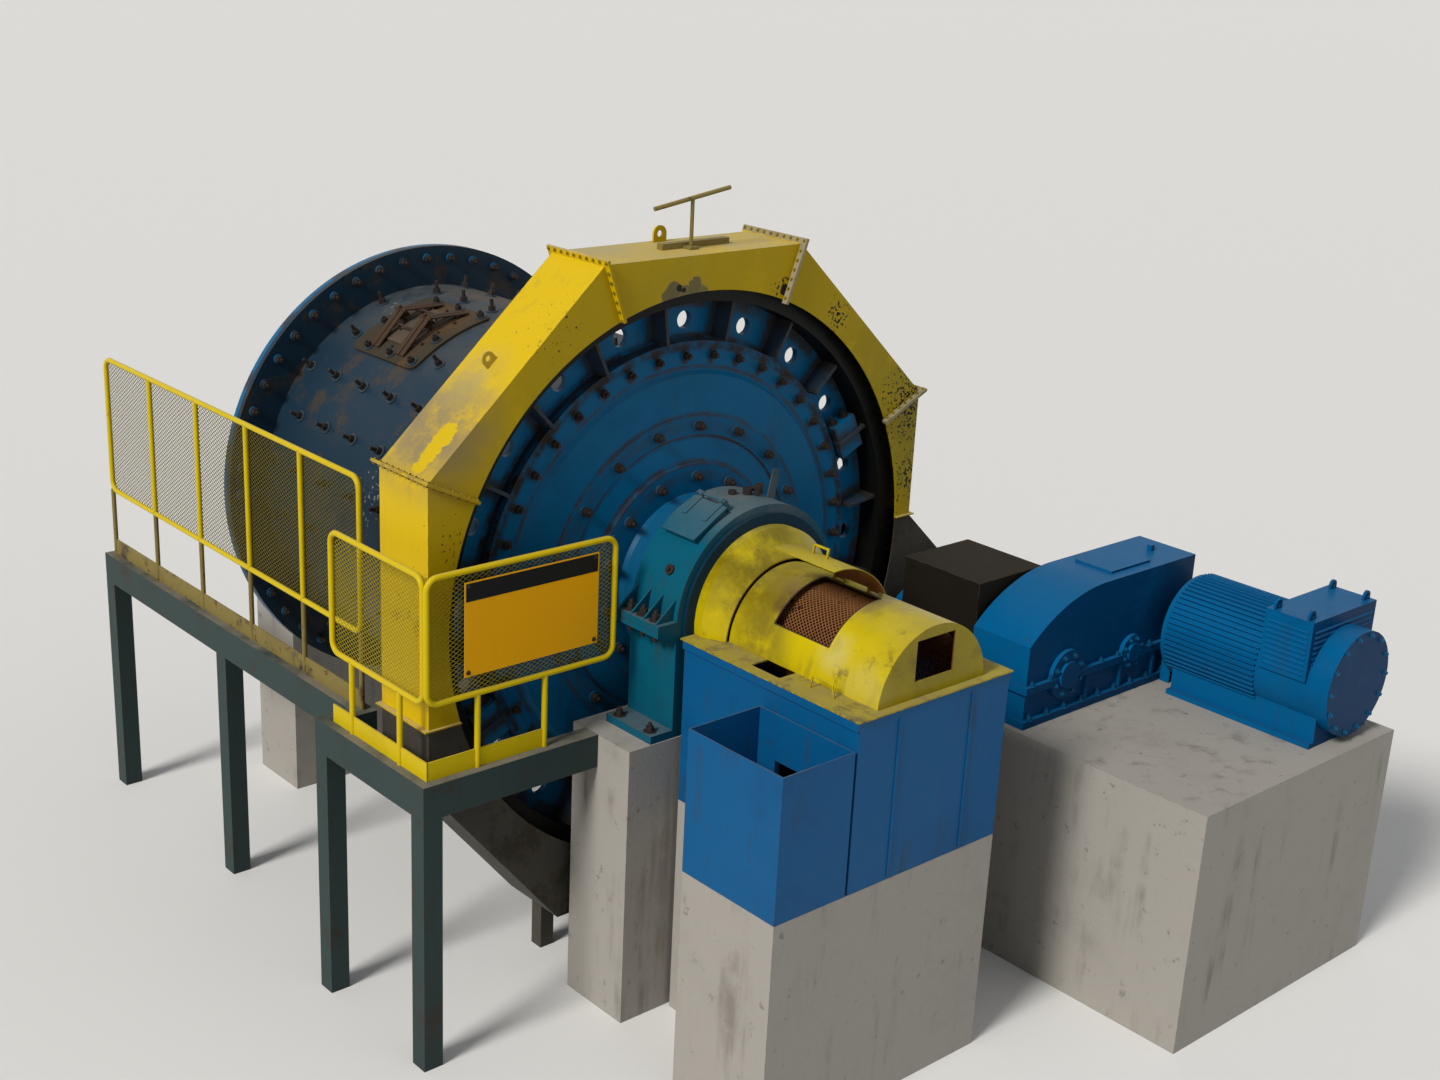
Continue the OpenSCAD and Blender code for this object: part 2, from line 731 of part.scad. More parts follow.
module guard_tee_handle() {
    x = 20;
    y = guard_y + 210;
    color("#5c5a50") {
        block([x - 230, y + 40, guard_top], [x + 400, y + 100, guard_top + 45]);
        block([x - 40, y - 40, guard_top], [x + 40, y + 40, guard_top + 20]);
        bar_z(x, y, guard_top, guard_top + 360, 14);
        translate([x, y, guard_top + 360 + axis_h]) rotate([0, 90 - tee_tilt, 0]) translate([0, 0, -350])
            cylinder(h = 700, r = 16, $fn = 48);
    }
}

// Discharge end

// A point at a radius and angle about the hood's centre
function hood_point(r, a) = [0, -hood_drop] + polar(r, a);

// The part of a circle about the hood's centre that lies above a floor height
module hood_outline(r, floor_z) {
    difference() {
        translate([0, -hood_drop]) circle(r = r, $fn = 96);
        translate([-2 * r, floor_z - 4 * r]) square([4 * r, 4 * r]);
    }
}

hatch_hinge_a = window_a0 - 4;
hatch_hinge_r = hood_r + move_gap + hinge_r + 14;
hatch_hinge = hood_point(hatch_hinge_r, hatch_hinge_a);
window_y1 = window_y0 + window_l;

module trommel_hood() {
    color("#c9bb1e") {
        difference() {
            slab(-hood_end, hood_end - hood_y0) hood_outline(hood_r, deck_z);
            slab(-hood_end + plate_t, hood_end - hood_y0) hood_outline(hood_r - plate_t, deck_z - cut);
            slab(-hood_end - cut, plate_t + 2 * cut)
                translate([-end_open_half, end_open_low])
                    square([2 * end_open_half, end_open_top - end_open_low]);
            slab(-window_y1, window_l) polygon([hood_point(0, 0), hood_point(2 * hood_r, window_a0),
                hood_point(2 * hood_r, window_a1)]);
        }
        for (y = [-window_y1 + 40, -window_y0 - 160])
            translate([0, 0, axis_h])
                hinge_pin(hatch_hinge[0], hatch_hinge[1], y, y + 120, hatch_hinge_r - hood_r + 6);
    }
}

// The neck between two circles: round the mill axis at its back, round the hood's centre in front
module neck_solid(back_r, front_r, y_front) {
    hull() {
        slab(-neck_bend_y, cut) circle(r = back_r, $fn = 96);
        translate([0, 0, -hood_drop]) slab(y_front, cut) circle(r = front_r, $fn = 96);
    }
    slab(-neck_bend_y, neck_bend_y - seal_y0) circle(r = back_r, $fn = 96);
}

module hood_neck() {
    front_r = hood_r + neck_slit;
    color("#c9bb1e") difference() {
        neck_solid(neck_r, front_r, -neck_end);
        neck_solid(neck_r - plate_t, front_r - plate_t, -neck_end - cut);
        slab(-seal_y0 - cut, 3 * cut) circle(r = neck_r - plate_t, $fn = 96);
        block([-2 * neck_r, -neck_end - 2 * cut, -2 * neck_r], [2 * neck_r, -seal_y0 + 2 * cut, deck_z]);
    }
}

// The hatch as it lies shut, drawn about the hood's centre
module hatch_shut() {
    lap = 3;
    intersection() {
        translate([0, 0, -hood_drop]) ring(-window_y1 - 30, -window_y0 + 30, hatch_r + hatch_t, hatch_r);
        slab(-window_y1 - 30 - cut, window_l + 60 + 2 * cut) polygon([hood_point(0, 0),
            hood_point(2 * hood_r, window_a0 - 1), hood_point(2 * hood_r, window_a1 + lap)]);
    }
    for (y = [-window_y1 + 60, -window_y0 - 140])
        difference() {
            union() {
                bar_y(hatch_hinge[0], hatch_hinge[1], y, y + 80, hinge_r + 8);
                slab(y, 80) difference() {
                    polygon([hood_point(hatch_r + 1, window_a0 + 8),
                        hood_point(hatch_r + hatch_t + 6, window_a0 + 8),
                        hatch_hinge + [0, 14], hatch_hinge + [0, -12]]);
                    translate([0, -hood_drop]) circle(r = hatch_r, $fn = 96);
                }
            }
            bar_y(hatch_hinge[0], hatch_hinge[1], y - cut, y + 80 + cut, hinge_r + shaft_gap);
        }
    handle_a = window_a1 - 14;
    handle_reach = 70;
    bar = 14;
    for (y = [-window_y1 + 190, -window_y0 - 190 - bar])
        slab(y, bar) translate([0, -hood_drop]) rotate(handle_a)
            translate([hatch_r + hatch_t - 1, -bar / 2]) square([handle_reach, bar]);
    slab(-window_y1 + 190, window_l - 380) translate([0, -hood_drop]) rotate(handle_a)
        translate([hatch_r + hatch_t + handle_reach - bar - 1, -bar / 2]) square([bar, bar]);
}

module hood_hatch() {
    pivot = [hatch_hinge[0], 0, hatch_hinge[1] + axis_h];
    color("#c9bb1e") translate(pivot) rotate([0, hatch_open, 0]) translate(-pivot) hatch_shut();
}

module discharge_deck() {
    hand_w = 180;
    mouth = hood_r - 2 * plate_t;
    color("#b3a83a") difference() {
        block([-deck_half, -deck_end, deck_z - plate_t], [deck_half, -seal_y0, deck_z]);
        block([-mouth, -hood_end + plate_t, deck_z - 2 * plate_t], [mouth, -box_y0 - plate_t, deck_z + cut]);
        block([-journal_r - 20, -box_y0 - plate_t - cut, deck_z - 2 * plate_t],
            [journal_r + 20, -seal_y0 + cut, deck_z + cut]);
        block([-deck_half + 83, -window_y0 - 310, deck_z - 2 * plate_t],
            [-deck_half + 83 + hand_w, -window_y0 - 30, deck_z + cut]);
    }
}

// An open-topped tank of plate
module tank(lo, hi) {
    difference() {
        block(lo, hi);
        block([lo[0] + plate_t, lo[1] + plate_t, lo[2] + plate_t],
            [hi[0] - plate_t, hi[1] - plate_t, hi[2] + cut]);
    }
}

spill_z0 = -900;
spill_z1 = -600;
spill_y0 = sump_y0 + 180;
spill_y1 = sump_y1 - 310;

module spill_cut() {
    block([-sump_x1 - 60, -spill_y1, spill_z0], [-box_half + 60, -spill_y0, spill_z1]);
}

module discharge_box() {
    color("#1763a8") difference() {
        tank([-box_half, -box_y1, -box_drop], [box_half, -box_y0, deck_z - plate_t]);
        on_axis(-box_y0 - 2 * plate_t) cylinder(h = 4 * plate_t, r = trommel_r + 40, $fn = 96);
        spill_cut();
    }
}

module side_sump() {
    color("#1763a8") difference() {
        union() {
            tank([-sump_x0, -sump_y1, -box_drop], [-sump_x1, -sump_y0, -sump_rim_drop]);
            block([-sump_x1, -spill_y1 - 20, spill_z0 - 20], [-box_half, -spill_y0 + 20, spill_z1 + 20]);
        }
        spill_cut();
    }
}

// Piers

module bearing_pier(y) {
    block([-pier_w / 2, y - pier_l / 2 + 60, -axis_h], [pier_w / 2, y + pier_l / 2 + 60, -base_depth]);
}

module discharge_pier() {
    color("#77736b") bearing_pier(0);
}

module feed_pier() {
    color("#77736b") bearing_pier(feed_y - 120);
}

module box_pier() {
    color("#77736b") {
        block([-box_half, -box_y1, -axis_h], [box_half, -box_y0, -box_drop]);
        block([-sump_x0, -sump_y1, -axis_h], [-box_half, -sump_y0, -box_drop]);
    }
}

pier_half = pinion_bearing_r + 210;
pier_x0 = pinion_x - pier_half;
pier_x1 = pinion_x + pier_half;
drive_x0 = pinion_x - gearbox_near - 100;
drive_x1 = motor_x + cooler_w / 2 + 60;
drive_y1 = motor_y + motor_l + 100;

module drive_pier() {
    color("#77736b") {
        block([drive_x0, -drive_y1, -axis_h], [drive_x1, -gearbox_y + 50, drive_top]);
        block([pier_x0, -gearbox_y + 50, -axis_h], [pier_x1, guard_y - 25, drive_top]);
        block([pinion_x - 60, guard_y - 25, -axis_h], [pier_x1, guard_y1 + 25, bulge_low - 220]);
        block([pier_x0 + 30, guard_y1 + 25, -axis_h], [pier_x1, guard_y1 + 375, drive_top]);
    }
}

// Drive

module pinion_bearing(y) {
    foot = 290;
    y0 = y - pinion_bearing_w / 2;
    color("#1763a8") difference() {
        union() {
            bar_y(pinion_x, pinion_z, y0, y0 + pinion_bearing_w, pinion_bearing_r);
            block([pinion_x - foot, y0, drive_top], [pinion_x + foot, y0 + pinion_bearing_w, drive_top + 50]);
            block([pinion_x - pinion_bearing_r, y0, drive_top],
                [pinion_x + pinion_bearing_r, y0 + pinion_bearing_w, pinion_z]);
        }
        bar_y(pinion_x, pinion_z, y0 - cut, y0 + pinion_bearing_w + cut, pinion_shaft_r + shaft_gap);
    }
}

front_bearing_y = guard_y - 155;
rear_bearing_y = guard_y1 + 155;

module pinion_bearing_front() {
    pinion_bearing(front_bearing_y);
}

module pinion_bearing_rear() {
    pinion_bearing(rear_bearing_y);
}

module pinion_shaft() {
    y0 = gear_y0 - pinion_extra / 2;
    w = gear_face + pinion_extra;
    rb = pinion_pitch_r * cos(pressure);
    color("#2a2b2d") {
        slab(y0, w) translate([pinion_x, pinion_z]) rotate(180 - pinion_angle + 180 / pinion_teeth)
            gear_outline(pinion_teeth, [pinion_pitch_r - 1.25 * gear_m, rb, rb + 10,
                pinion_pitch_r, pinion_pitch_r + gear_m / 2, pinion_pitch_r + gear_m]);
        bar_y(pinion_x, pinion_z, y0 + w - cut, rear_bearing_y + pinion_bearing_w / 2 + 40, pinion_shaft_r);
        bar_y(pinion_x, pinion_z, -gearbox_y + gearbox_lip + move_gap, y0 + cut, pinion_shaft_r);
    }
}

coupling_y0 = -gearbox_y + gearbox_lip + 50;
coupling_y1 = -140;

module drive_coupling() {
    color("#8a3a1e") difference() {
        union() {
            bar_y(pinion_x, pinion_z, coupling_y0, coupling_y1, 180);
            bar_y(pinion_x, pinion_z, (coupling_y0 + coupling_y1) / 2 - 60,
                (coupling_y0 + coupling_y1) / 2 + 60, 250);
        }
        bar_y(pinion_x, pinion_z, coupling_y0 - cut, coupling_y1 + cut, pinion_shaft_r);
    }
}

module pinion_cover() {
    half = pinion_bearing_r + 144;
    top = -cover_top_drop;
    y0 = -gearbox_y + gearbox_lip + 10;
    y1 = front_bearing_y - pinion_bearing_w / 2 - 55;
    color("#55524c") difference() {
        block([pinion_x - half, y0, drive_top], [pinion_x + half, y1, top]);
        block([pinion_x - half + plate_t, y0 + plate_t, drive_top - cut],
            [pinion_x + half - plate_t, y1 - plate_t, top - plate_t]);
        bar_y(pinion_x, pinion_z, y0 - cut, y1 + cut, pinion_shaft_r + 20);
    }
}

module gearbox() {
    y0 = -gearbox_y - gearbox_w;
    top = -gearbox_top_drop;
    x0 = pinion_x - gearbox_near;
    x1 = pinion_x + gearbox_far;
    bend = pinion_x + gearbox_shoulder;
    color("#1763a8") {
        slab(y0, gearbox_w) {
            intersection() {
                translate([bend, top - gearbox_r]) circle(r = gearbox_r, $fn = 180);
                translate([x0, drive_top]) square([bend - x0, top - drive_top]);
            }
            translate([bend - cut, drive_top]) square([x1 - bend + cut, top - drive_top]);
        }
        for (z = [drive_top, pinion_z - gearbox_lip])
            slab(y0 - gearbox_lip, gearbox_w + 2 * gearbox_lip) translate([x0 - gearbox_lip, z])
                square([x1 - x0 + 2 * gearbox_lip, 1.5 * gearbox_lip]);
    }
}

module motor() {
    half = cooler_w / 2 - 40;
    foot_t = 40;
    wall = 60;
    color("#1763a8") {
        bar_y(motor_x, motor_z, -motor_y - motor_l, -motor_y, motor_r);
        bar_y(motor_x, motor_z, -motor_y - cut, -motor_y + 120, 60);
        slab(-motor_y - motor_l + 100, motor_l - 200) translate([motor_x, 0]) polygon([
            [-half, drive_top], [half, drive_top], [half, drive_top + foot_t],
            [half - wall, drive_top + foot_t], [motor_r - wall, motor_z], [wall - motor_r, motor_z],
            [wall - half, drive_top + foot_t], [-half, drive_top + foot_t]]);
    }
}

module motor_cooler() {
    y1 = -motor_y - cooler_back;
    y0 = y1 - cooler_l;
    top = -cooler_top_drop;
    eye_r = 42;
    color("#1763a8") {
        difference() {
            block([motor_x - cooler_w / 2, y0, top - cooler_h], [motor_x + cooler_w / 2, y1, top]);
            bar_y(motor_x, motor_z, y0 - cut, y1 + cut, motor_r + weld_gap);
        }
        for (x = [motor_x - cooler_w / 2 + 60, motor_x + cooler_w / 2 - 60], y = [y0 + 50, y1 - 70])
            slab(y, 20) translate([x, top + 30]) difference() {
                union() {
                    circle(r = eye_r, $fn = 48);
                    translate([-eye_r, -30 - cut]) square([2 * eye_r, 30 + cut]);
                }
                circle(r = 20, $fn = 32);
            }
    }
}

module coupling_guard() {
    y0 = -motor_y + 10;
    y1 = -gearbox_y - gearbox_w - 50;
    r = coupling_guard_r;
    color("#1763a8") difference() {
        slab(y0, y1 - y0) {
            translate([motor_x, motor_z]) circle(r = r, $fn = 96);
            translate([motor_x - r, drive_top]) square([2 * r, motor_z - drive_top]);
        }
        slab(y0 - cut, y1 - y0 + 2 * cut) {
            translate([motor_x, motor_z]) circle(r = r - 6, $fn = 96);
            translate([motor_x - r + 6, drive_top - cut]) square([2 * r - 12, motor_z - drive_top + cut]);
        }
    }
}

// Guards beside the mill

side_y0 = corner_y + corner_l;

module pit_edge_frame() {
    w = column_w;
    z0 = walk_z - beam_h;
    color("#3f4a45") {
        block([-corner_x - w / 2, corner_y - w / 2, z0], [-pier_w / 2, corner_y + w / 2, walk_z]);
        block([-corner_x - w / 2, corner_y + w / 2, z0], [-corner_x + w / 2, side_y0 + w / 2, walk_z]);
        block([-corner_x + w / 2, side_y0 - w / 2, z0], [-side_x + w / 2, side_y0 + w / 2, walk_z]);
        block([-side_x - w / 2, side_y0 + w / 2, z0], [-side_x + w / 2, side_end_y + w / 2, walk_z]);
        for (p = [[-corner_x, corner_y], [-corner_x, side_y0], [-side_x, (side_y0 + side_end_y) / 2],
                [-side_x, side_end_y]])
            block([p[0] - w / 2, p[1] - w / 2, -axis_h], [p[0] + w / 2, p[1] + w / 2, z0]);
    }
}

// A rail frame in a vertical plane along X or Y, between two posts
module panel_y(x, y0, y1, z0, z1) {
    bar_y(x, z0, y0, y1, tube_r);
    bar_y(x, z1, y0, y1, tube_r);
}

module side_guard_frame() {
    bay = (side_end_y - side_y0) / side_bays;
    color("#c9b81c") {
        for (i = [0 : side_bays]) {
            bar_z(-side_x, side_y0 + i * bay, -side_low_drop, side_top, tube_r);
            bar_z(-side_x, side_y0 + i * bay, walk_z, -side_low_drop, post_r);
        }
        panel_y(-side_x, side_y0, side_end_y, -side_low_drop, side_top);
        block([-side_x - 6, side_y0, walk_z], [-side_x + 6, side_end_y, walk_z + toe_h]);
    }
}

// A grid of openings drawn over a sheet from corner lo to corner hi, with strips of mesh_strip left
module openings_2d(lo, hi, across, rows) {
    pitch = [(hi[0] - lo[0] - mesh_strip) / across, (hi[1] - lo[1] - mesh_strip) / rows];
    for (i = [0 : across - 1], j = [0 : rows - 1])
        translate([lo[0] + mesh_strip + i * pitch[0], lo[1] + mesh_strip + j * pitch[1]])
            square([pitch[0] - mesh_strip, pitch[1] - mesh_strip]);
}

// A mesh sheet in a plane across X, from y0 to y1
module mesh_along(x, y0, y1, z0, z1, across) {
    translate([x, 0, axis_h]) rotate([90, 0, 90]) linear_extrude(mesh_t) difference() {
        translate([y0, z0]) square([y1 - y0, z1 - z0]);
        openings_2d([y0, z0], [y1, z1], across, mesh_rows);
    }
}

module side_guard_mesh() {
    color("#a89a20") mesh_along(-side_x + tube_r, side_y0, side_end_y, -side_low_drop, side_top, 12);
}

module corner_guard_frame() {
    back = corner_y + corner_l - 3 * tube_r;
    beside = corner_y + 1.8 * tube_r;
    run_x = corner_x - corner_end_x;
    run_y = back - beside;
    color("#c9b81c") {
        for (z = [-corner_low_drop, corner_top]) {
            bar_x(corner_y, z, -corner_x, -corner_end_x, tube_r);
            bar_y(-corner_x, z, beside, back, tube_r);
        }
        for (p = [[-corner_x, corner_y], [-corner_end_x, corner_y], [-corner_x, beside], [-corner_x, back]])
            bar_z(p[0], p[1], -corner_low_drop, corner_top, tube_r);
        for (f = [0.26, 0.62])
            bar_z(-corner_x + f * run_x, corner_y, walk_z, -corner_low_drop, tube_r);
        for (f = [0.25, 0.78])
            bar_z(-corner_x, beside + f * run_y, walk_z, -corner_low_drop, tube_r);
        block([-corner_x, corner_y - 6, walk_z],
            [-corner_x + 0.62 * run_x + tube_r, corner_y + 6, walk_z + toe_h]);
        block([-corner_x - 6, corner_y - 6, walk_z], [-corner_x + 6, back, walk_z + toe_h]);
    }
}

module corner_guard_mesh() {
    color("#a89a20") {
        slab(corner_y + tube_r, mesh_t) difference() {
            translate([-corner_x + tube_r, -corner_low_drop])
                square([corner_x - tube_r - corner_end_x, corner_top + corner_low_drop]);
            openings_2d([-corner_x + tube_r, -corner_low_drop], [-corner_end_x, corner_top], 5, mesh_rows);
        }
        mesh_along(-corner_x + tube_r, corner_y + tube_r + mesh_t - cut, corner_y + corner_l - 3 * tube_r,
            -corner_low_drop, corner_top, 4);
    }
}

// The plate stands off the mesh on four blocks that sit where its strips cross
module notice_plate() {
    x1 = -corner_end_x - 160;
    face = corner_y - tube_r;
    x0 = -corner_x + tube_r;
    step_x = (-corner_end_x - x0 - mesh_strip) / 5;
    step_z = (corner_top + corner_low_drop - mesh_strip) / mesh_rows;
    color("#e08a10") {
        block([x1 - notice_w, face - 4, -142], [x1, face, notice_h - 142]);
        for (i = [1, 4], j = [1, mesh_rows - 1])
            translate([x0 + i * step_x + mesh_strip / 2, 0, j * step_z + mesh_strip / 2 - corner_low_drop])
                block([-10, face - cut, -10], [10, corner_y + tube_r, 10]);
    }
}

discharge_pier();
feed_pier();
box_pier();
drive_pier();
discharge_bearing_base();
discharge_bearing_cap();
discharge_seal_ring();
bearing_lid();
feed_bearing_base();
feed_bearing_cap();
guard_crown();
guard_left_shoulder();
guard_right_shoulder();
guard_left_leg();
guard_right_leg();
guard_pan();
guard_tee_handle();
trommel_hood();
hood_neck();
hood_hatch();
discharge_deck();
discharge_box();
side_sump();
pinion_bearing_front();
pinion_bearing_rear();
pinion_cover();
gearbox();
motor();
motor_cooler();
coupling_guard();
pit_edge_frame();
side_guard_frame();
side_guard_mesh();
corner_guard_frame();
corner_guard_mesh();
notice_plate();
drum_shell();
discharge_shell_flange();
feed_shell_flange();
discharge_head();
feed_head();
discharge_trunnion();
feed_trunnion();
girth_gear_web();
girth_gear_rim();
manhole_cover();
trommel_screen();
pinion_shaft();
drive_coupling();
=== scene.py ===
import json
import math
import random

import bmesh
import bpy
from mathutils import Matrix, Quaternion, Vector


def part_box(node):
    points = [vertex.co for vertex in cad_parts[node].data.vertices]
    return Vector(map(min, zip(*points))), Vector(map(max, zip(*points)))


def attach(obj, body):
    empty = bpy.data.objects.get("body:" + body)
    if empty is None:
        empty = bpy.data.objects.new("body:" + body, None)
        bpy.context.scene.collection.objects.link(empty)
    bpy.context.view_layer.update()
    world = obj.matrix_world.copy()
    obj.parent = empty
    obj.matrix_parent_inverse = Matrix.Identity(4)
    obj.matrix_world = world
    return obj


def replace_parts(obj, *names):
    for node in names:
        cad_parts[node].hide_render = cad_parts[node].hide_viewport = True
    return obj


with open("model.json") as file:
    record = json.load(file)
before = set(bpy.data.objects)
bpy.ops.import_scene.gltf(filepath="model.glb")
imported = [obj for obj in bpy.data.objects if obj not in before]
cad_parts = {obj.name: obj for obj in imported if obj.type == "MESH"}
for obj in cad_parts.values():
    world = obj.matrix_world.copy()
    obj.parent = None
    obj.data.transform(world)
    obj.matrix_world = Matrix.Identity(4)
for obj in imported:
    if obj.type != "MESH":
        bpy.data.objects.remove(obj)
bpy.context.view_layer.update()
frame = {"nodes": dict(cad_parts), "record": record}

random.seed(11)
print("frame loaded")

# Sizes that everything hangs on, read from the frame
shellLow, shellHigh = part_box("drum_shell")
axisZ = (shellLow[2] + shellHigh[2]) / 2
shellR = (shellHigh[2] - shellLow[2]) / 2
guardLow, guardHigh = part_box("guard_crown")
capLow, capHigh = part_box("discharge_bearing_cap")
boxLow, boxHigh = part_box("discharge_box")
gearboxLow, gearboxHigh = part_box("gearbox")
motorLow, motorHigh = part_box("motor")
coolerLow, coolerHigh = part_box("motor_cooler")
pinionLow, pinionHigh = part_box("pinion_shaft")
manholeLow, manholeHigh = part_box("manhole_cover")
zUp = Vector((0, 0, 1))


def around(radius, degrees, y):  # a point round the mill axis, 0 degrees along +X
    a = math.radians(degrees)
    return Vector((radius * math.cos(a), y, axisZ + radius * math.sin(a)))


def outward(degrees):
    a = math.radians(degrees)
    return Vector((math.cos(a), 0, math.sin(a)))


def ringPoints(x, y, z, radius, count, start=0.0):  # places evenly round a circle that faces along Y
    for i in range(count):
        a = math.radians(start + i * 360 / count)
        yield Vector((x + radius * math.cos(a), y, z + radius * math.sin(a)))


def intoScene(name, data):
    made = bpy.data.objects.new(name, data)
    bpy.context.collection.objects.link(made)
    return made


# Shader nodes

def feed(tree, value, socket):  # a fixed value is set on the socket itself, another socket is linked
    if isinstance(value, (int, float, tuple)):
        socket.default_value = value
    else:
        tree.links.new(value, socket)


def mathNode(tree, operation, *values, clamp=False):
    n = tree.nodes.new("ShaderNodeMath")
    n.operation = operation
    n.use_clamp = clamp
    for value, socket in zip(values, n.inputs):
        feed(tree, value, socket)
    return n.outputs[0]


def times(tree, first, *others):
    for other in others:
        first = mathNode(tree, "MULTIPLY", first, other)
    return first


def vectorNode(tree, operation, a, b):
    n = tree.nodes.new("ShaderNodeVectorMath")
    n.operation = operation
    feed(tree, a, n.inputs[0])
    feed(tree, b, n.inputs[1])
    return n.outputs["Value" if operation in ("DISTANCE", "DOT_PRODUCT") else "Vector"]


def splitNode(tree, vector):
    n = tree.nodes.new("ShaderNodeSeparateXYZ")
    tree.links.new(vector, n.inputs[0])
    return n.outputs


def noiseNode(tree, vector, scale, detail=4.0, rough=0.6):
    n = tree.nodes.new("ShaderNodeTexNoise")
    n.inputs["Detail"].default_value = detail
    n.inputs["Roughness"].default_value = rough
    tree.links.new(vector, n.inputs["Vector"])
    feed(tree, scale, n.inputs["Scale"])
    return n.outputs["Fac"]


def rampNode(tree, value, low, high):  # rises softly from 0 at low to 1 at high
    n = tree.nodes.new("ShaderNodeMapRange")
    n.interpolation_type = "SMOOTHSTEP"
    tree.links.new(value, n.inputs["Value"])
    feed(tree, low, n.inputs["From Min"])
    feed(tree, high, n.inputs["From Max"])
    return n.outputs["Result"]


def levelNode(tree, value, low, high):  # gives low for 0 and high for 1
    n = tree.nodes.new("ShaderNodeMapRange")
    n.inputs["To Min"].default_value = low
    n.inputs["To Max"].default_value = high
    tree.links.new(value, n.inputs["Value"])
    return n.outputs["Result"]


def seenRays(tree, hidden, seen):  # seen is for rays that show a thing, hidden for the light it gives
    path = tree.nodes.new("ShaderNodeLightPath").outputs
    shown = mathNode(tree, "MAXIMUM", path["Is Camera Ray"], path["Is Glossy Ray"])
    shown = mathNode(tree, "MAXIMUM", shown, path["Is Transmission Ray"])
    return levelNode(tree, shown, hidden, seen)


# Camera, light and floor

camSettings = {
    "place": (-8.664, -9.342, 7.769),
    "right": (0.7496, -0.6602, 0.0467),
    "up": (0.1804, 0.2717, 0.9453),
    "back": (-0.6368, -0.7002, 0.3228),
    "lens": 46.85,
    "sensor": 36,
    "reach": 900,
}
cam = bpy.data.cameras.new("millCamera")
cam.lens = camSettings["lens"]
cam.sensor_width = camSettings["sensor"]
cam.clip_end = camSettings["reach"]
camObject = intoScene("millCamera", cam)
turn = Matrix((camSettings["right"], camSettings["up"], camSettings["back"])).transposed()
camObject.matrix_world = Matrix.Translation(camSettings["place"]) @ turn.to_4x4()
bpy.context.scene.camera = camObject
bpy.context.scene.view_settings.view_transform = "Standard"

lampSettings = {
    "key": {"strength": 2.7, "angle": 16, "from": (-0.82, -0.10, 0.66), "colour": (1.0, 0.97, 0.91)},
    "fill": {"strength": 0.30, "angle": 70, "from": (0.35, -0.85, 0.5), "colour": (0.93, 0.97, 1.0)},
}
for lampName, s in lampSettings.items():
    lamp = bpy.data.lights.new(lampName, "SUN")
    lamp.energy = s["strength"]
    lamp.angle = math.radians(s["angle"])
    lamp.color = s["colour"]
    intoScene(lampName, lamp).rotation_euler = Vector(s["from"]).to_track_quat("Z", "Y").to_euler()

skyLevels = {"hidden": 0.33, "seen": 1.0}
world = bpy.data.worlds.new("studio")
bpy.context.scene.world = world
world.use_nodes = True
worldTree = world.node_tree
worldTree.nodes.clear()
sky = worldTree.nodes.new("ShaderNodeBackground")
worldTree.links.new(seenRays(worldTree, **skyLevels), sky.inputs["Strength"])
worldTree.links.new(sky.outputs[0], worldTree.nodes.new("ShaderNodeOutputWorld").inputs[0])

floorSettings = {"size": 400, "rough": 0.9, "hidden": 0.64, "seen": 0.82}
floorBm = bmesh.new()
bmesh.ops.create_grid(floorBm, x_segments=1, y_segments=1, size=floorSettings["size"])
floorMesh = bpy.data.meshes.new("floor")
floorBm.to_mesh(floorMesh)
floorBm.free()
floor = intoScene("floor", floorMesh)
floorPaint = bpy.data.materials.new("floorPaint")
floorPaint.use_nodes = True
floorTree = floorPaint.node_tree
floorShader = floorTree.nodes["Principled BSDF"]
floorShader.inputs["Roughness"].default_value = floorSettings["rough"]
floorShine = seenRays(floorTree, floorSettings["hidden"], floorSettings["seen"])
floorTree.links.new(floorShine, floorShader.inputs["Base Color"])
floorMesh.materials.append(floorPaint)
print("camera, lamps and floor ready")


# Node groups that several finishes share, each with one output, Mask

def newGroup(name, **inputs):
    tree = bpy.data.node_groups.new(name, "ShaderNodeTree")
    tree.interface.new_socket("Vector", in_out="INPUT", socket_type="NodeSocketVector")
    for label, start in inputs.items():
        made = tree.interface.new_socket(label, in_out="INPUT", socket_type="NodeSocketFloat")
        made.default_value = start
    tree.interface.new_socket("Mask", in_out="OUTPUT", socket_type="NodeSocketFloat")
    return tree, tree.nodes.new("NodeGroupInput").outputs


def closeGroup(tree, mask):
    tree.links.new(mask, tree.nodes.new("NodeGroupOutput").inputs["Mask"])
    return tree


def makePatches():  # ragged patches, Amount 0 none to 1 everywhere
    tree, given = newGroup("patches", Scale=2.0, Amount=0.3, Softness=0.1)
    broad = noiseNode(tree, given["Vector"], given["Scale"], 6.0, 0.65)
    fine = noiseNode(tree, given["Vector"], times(tree, given["Scale"], 9.0), 3.0, 0.7)
    both = mathNode(tree, "ADD", times(tree, broad, 0.8), times(tree, fine, 0.2))
    edge = mathNode(tree, "SUBTRACT", 0.72, times(tree, given["Amount"], 0.44))
    return closeGroup(tree, rampNode(tree, both, edge, mathNode(tree, "ADD", edge, given["Softness"])))


def makeDustAndShadeFilm(name, axis, sign, faces, gaps):  # dust, or painted shade, on faces turned one way, broken up by noise
    tree, given = newGroup(name, Scale=1.3, Amount=0.6)
    normal = tree.nodes.new("ShaderNodeTexCoord").outputs["Normal"]
    facing = rampNode(tree, times(tree, splitNode(tree, normal)[axis], sign), *faces)
    uneven = rampNode(tree, noiseNode(tree, given["Vector"], given["Scale"], 6.0, 0.7), *gaps)
    return closeGroup(tree, times(tree, facing, uneven, given["Amount"]))


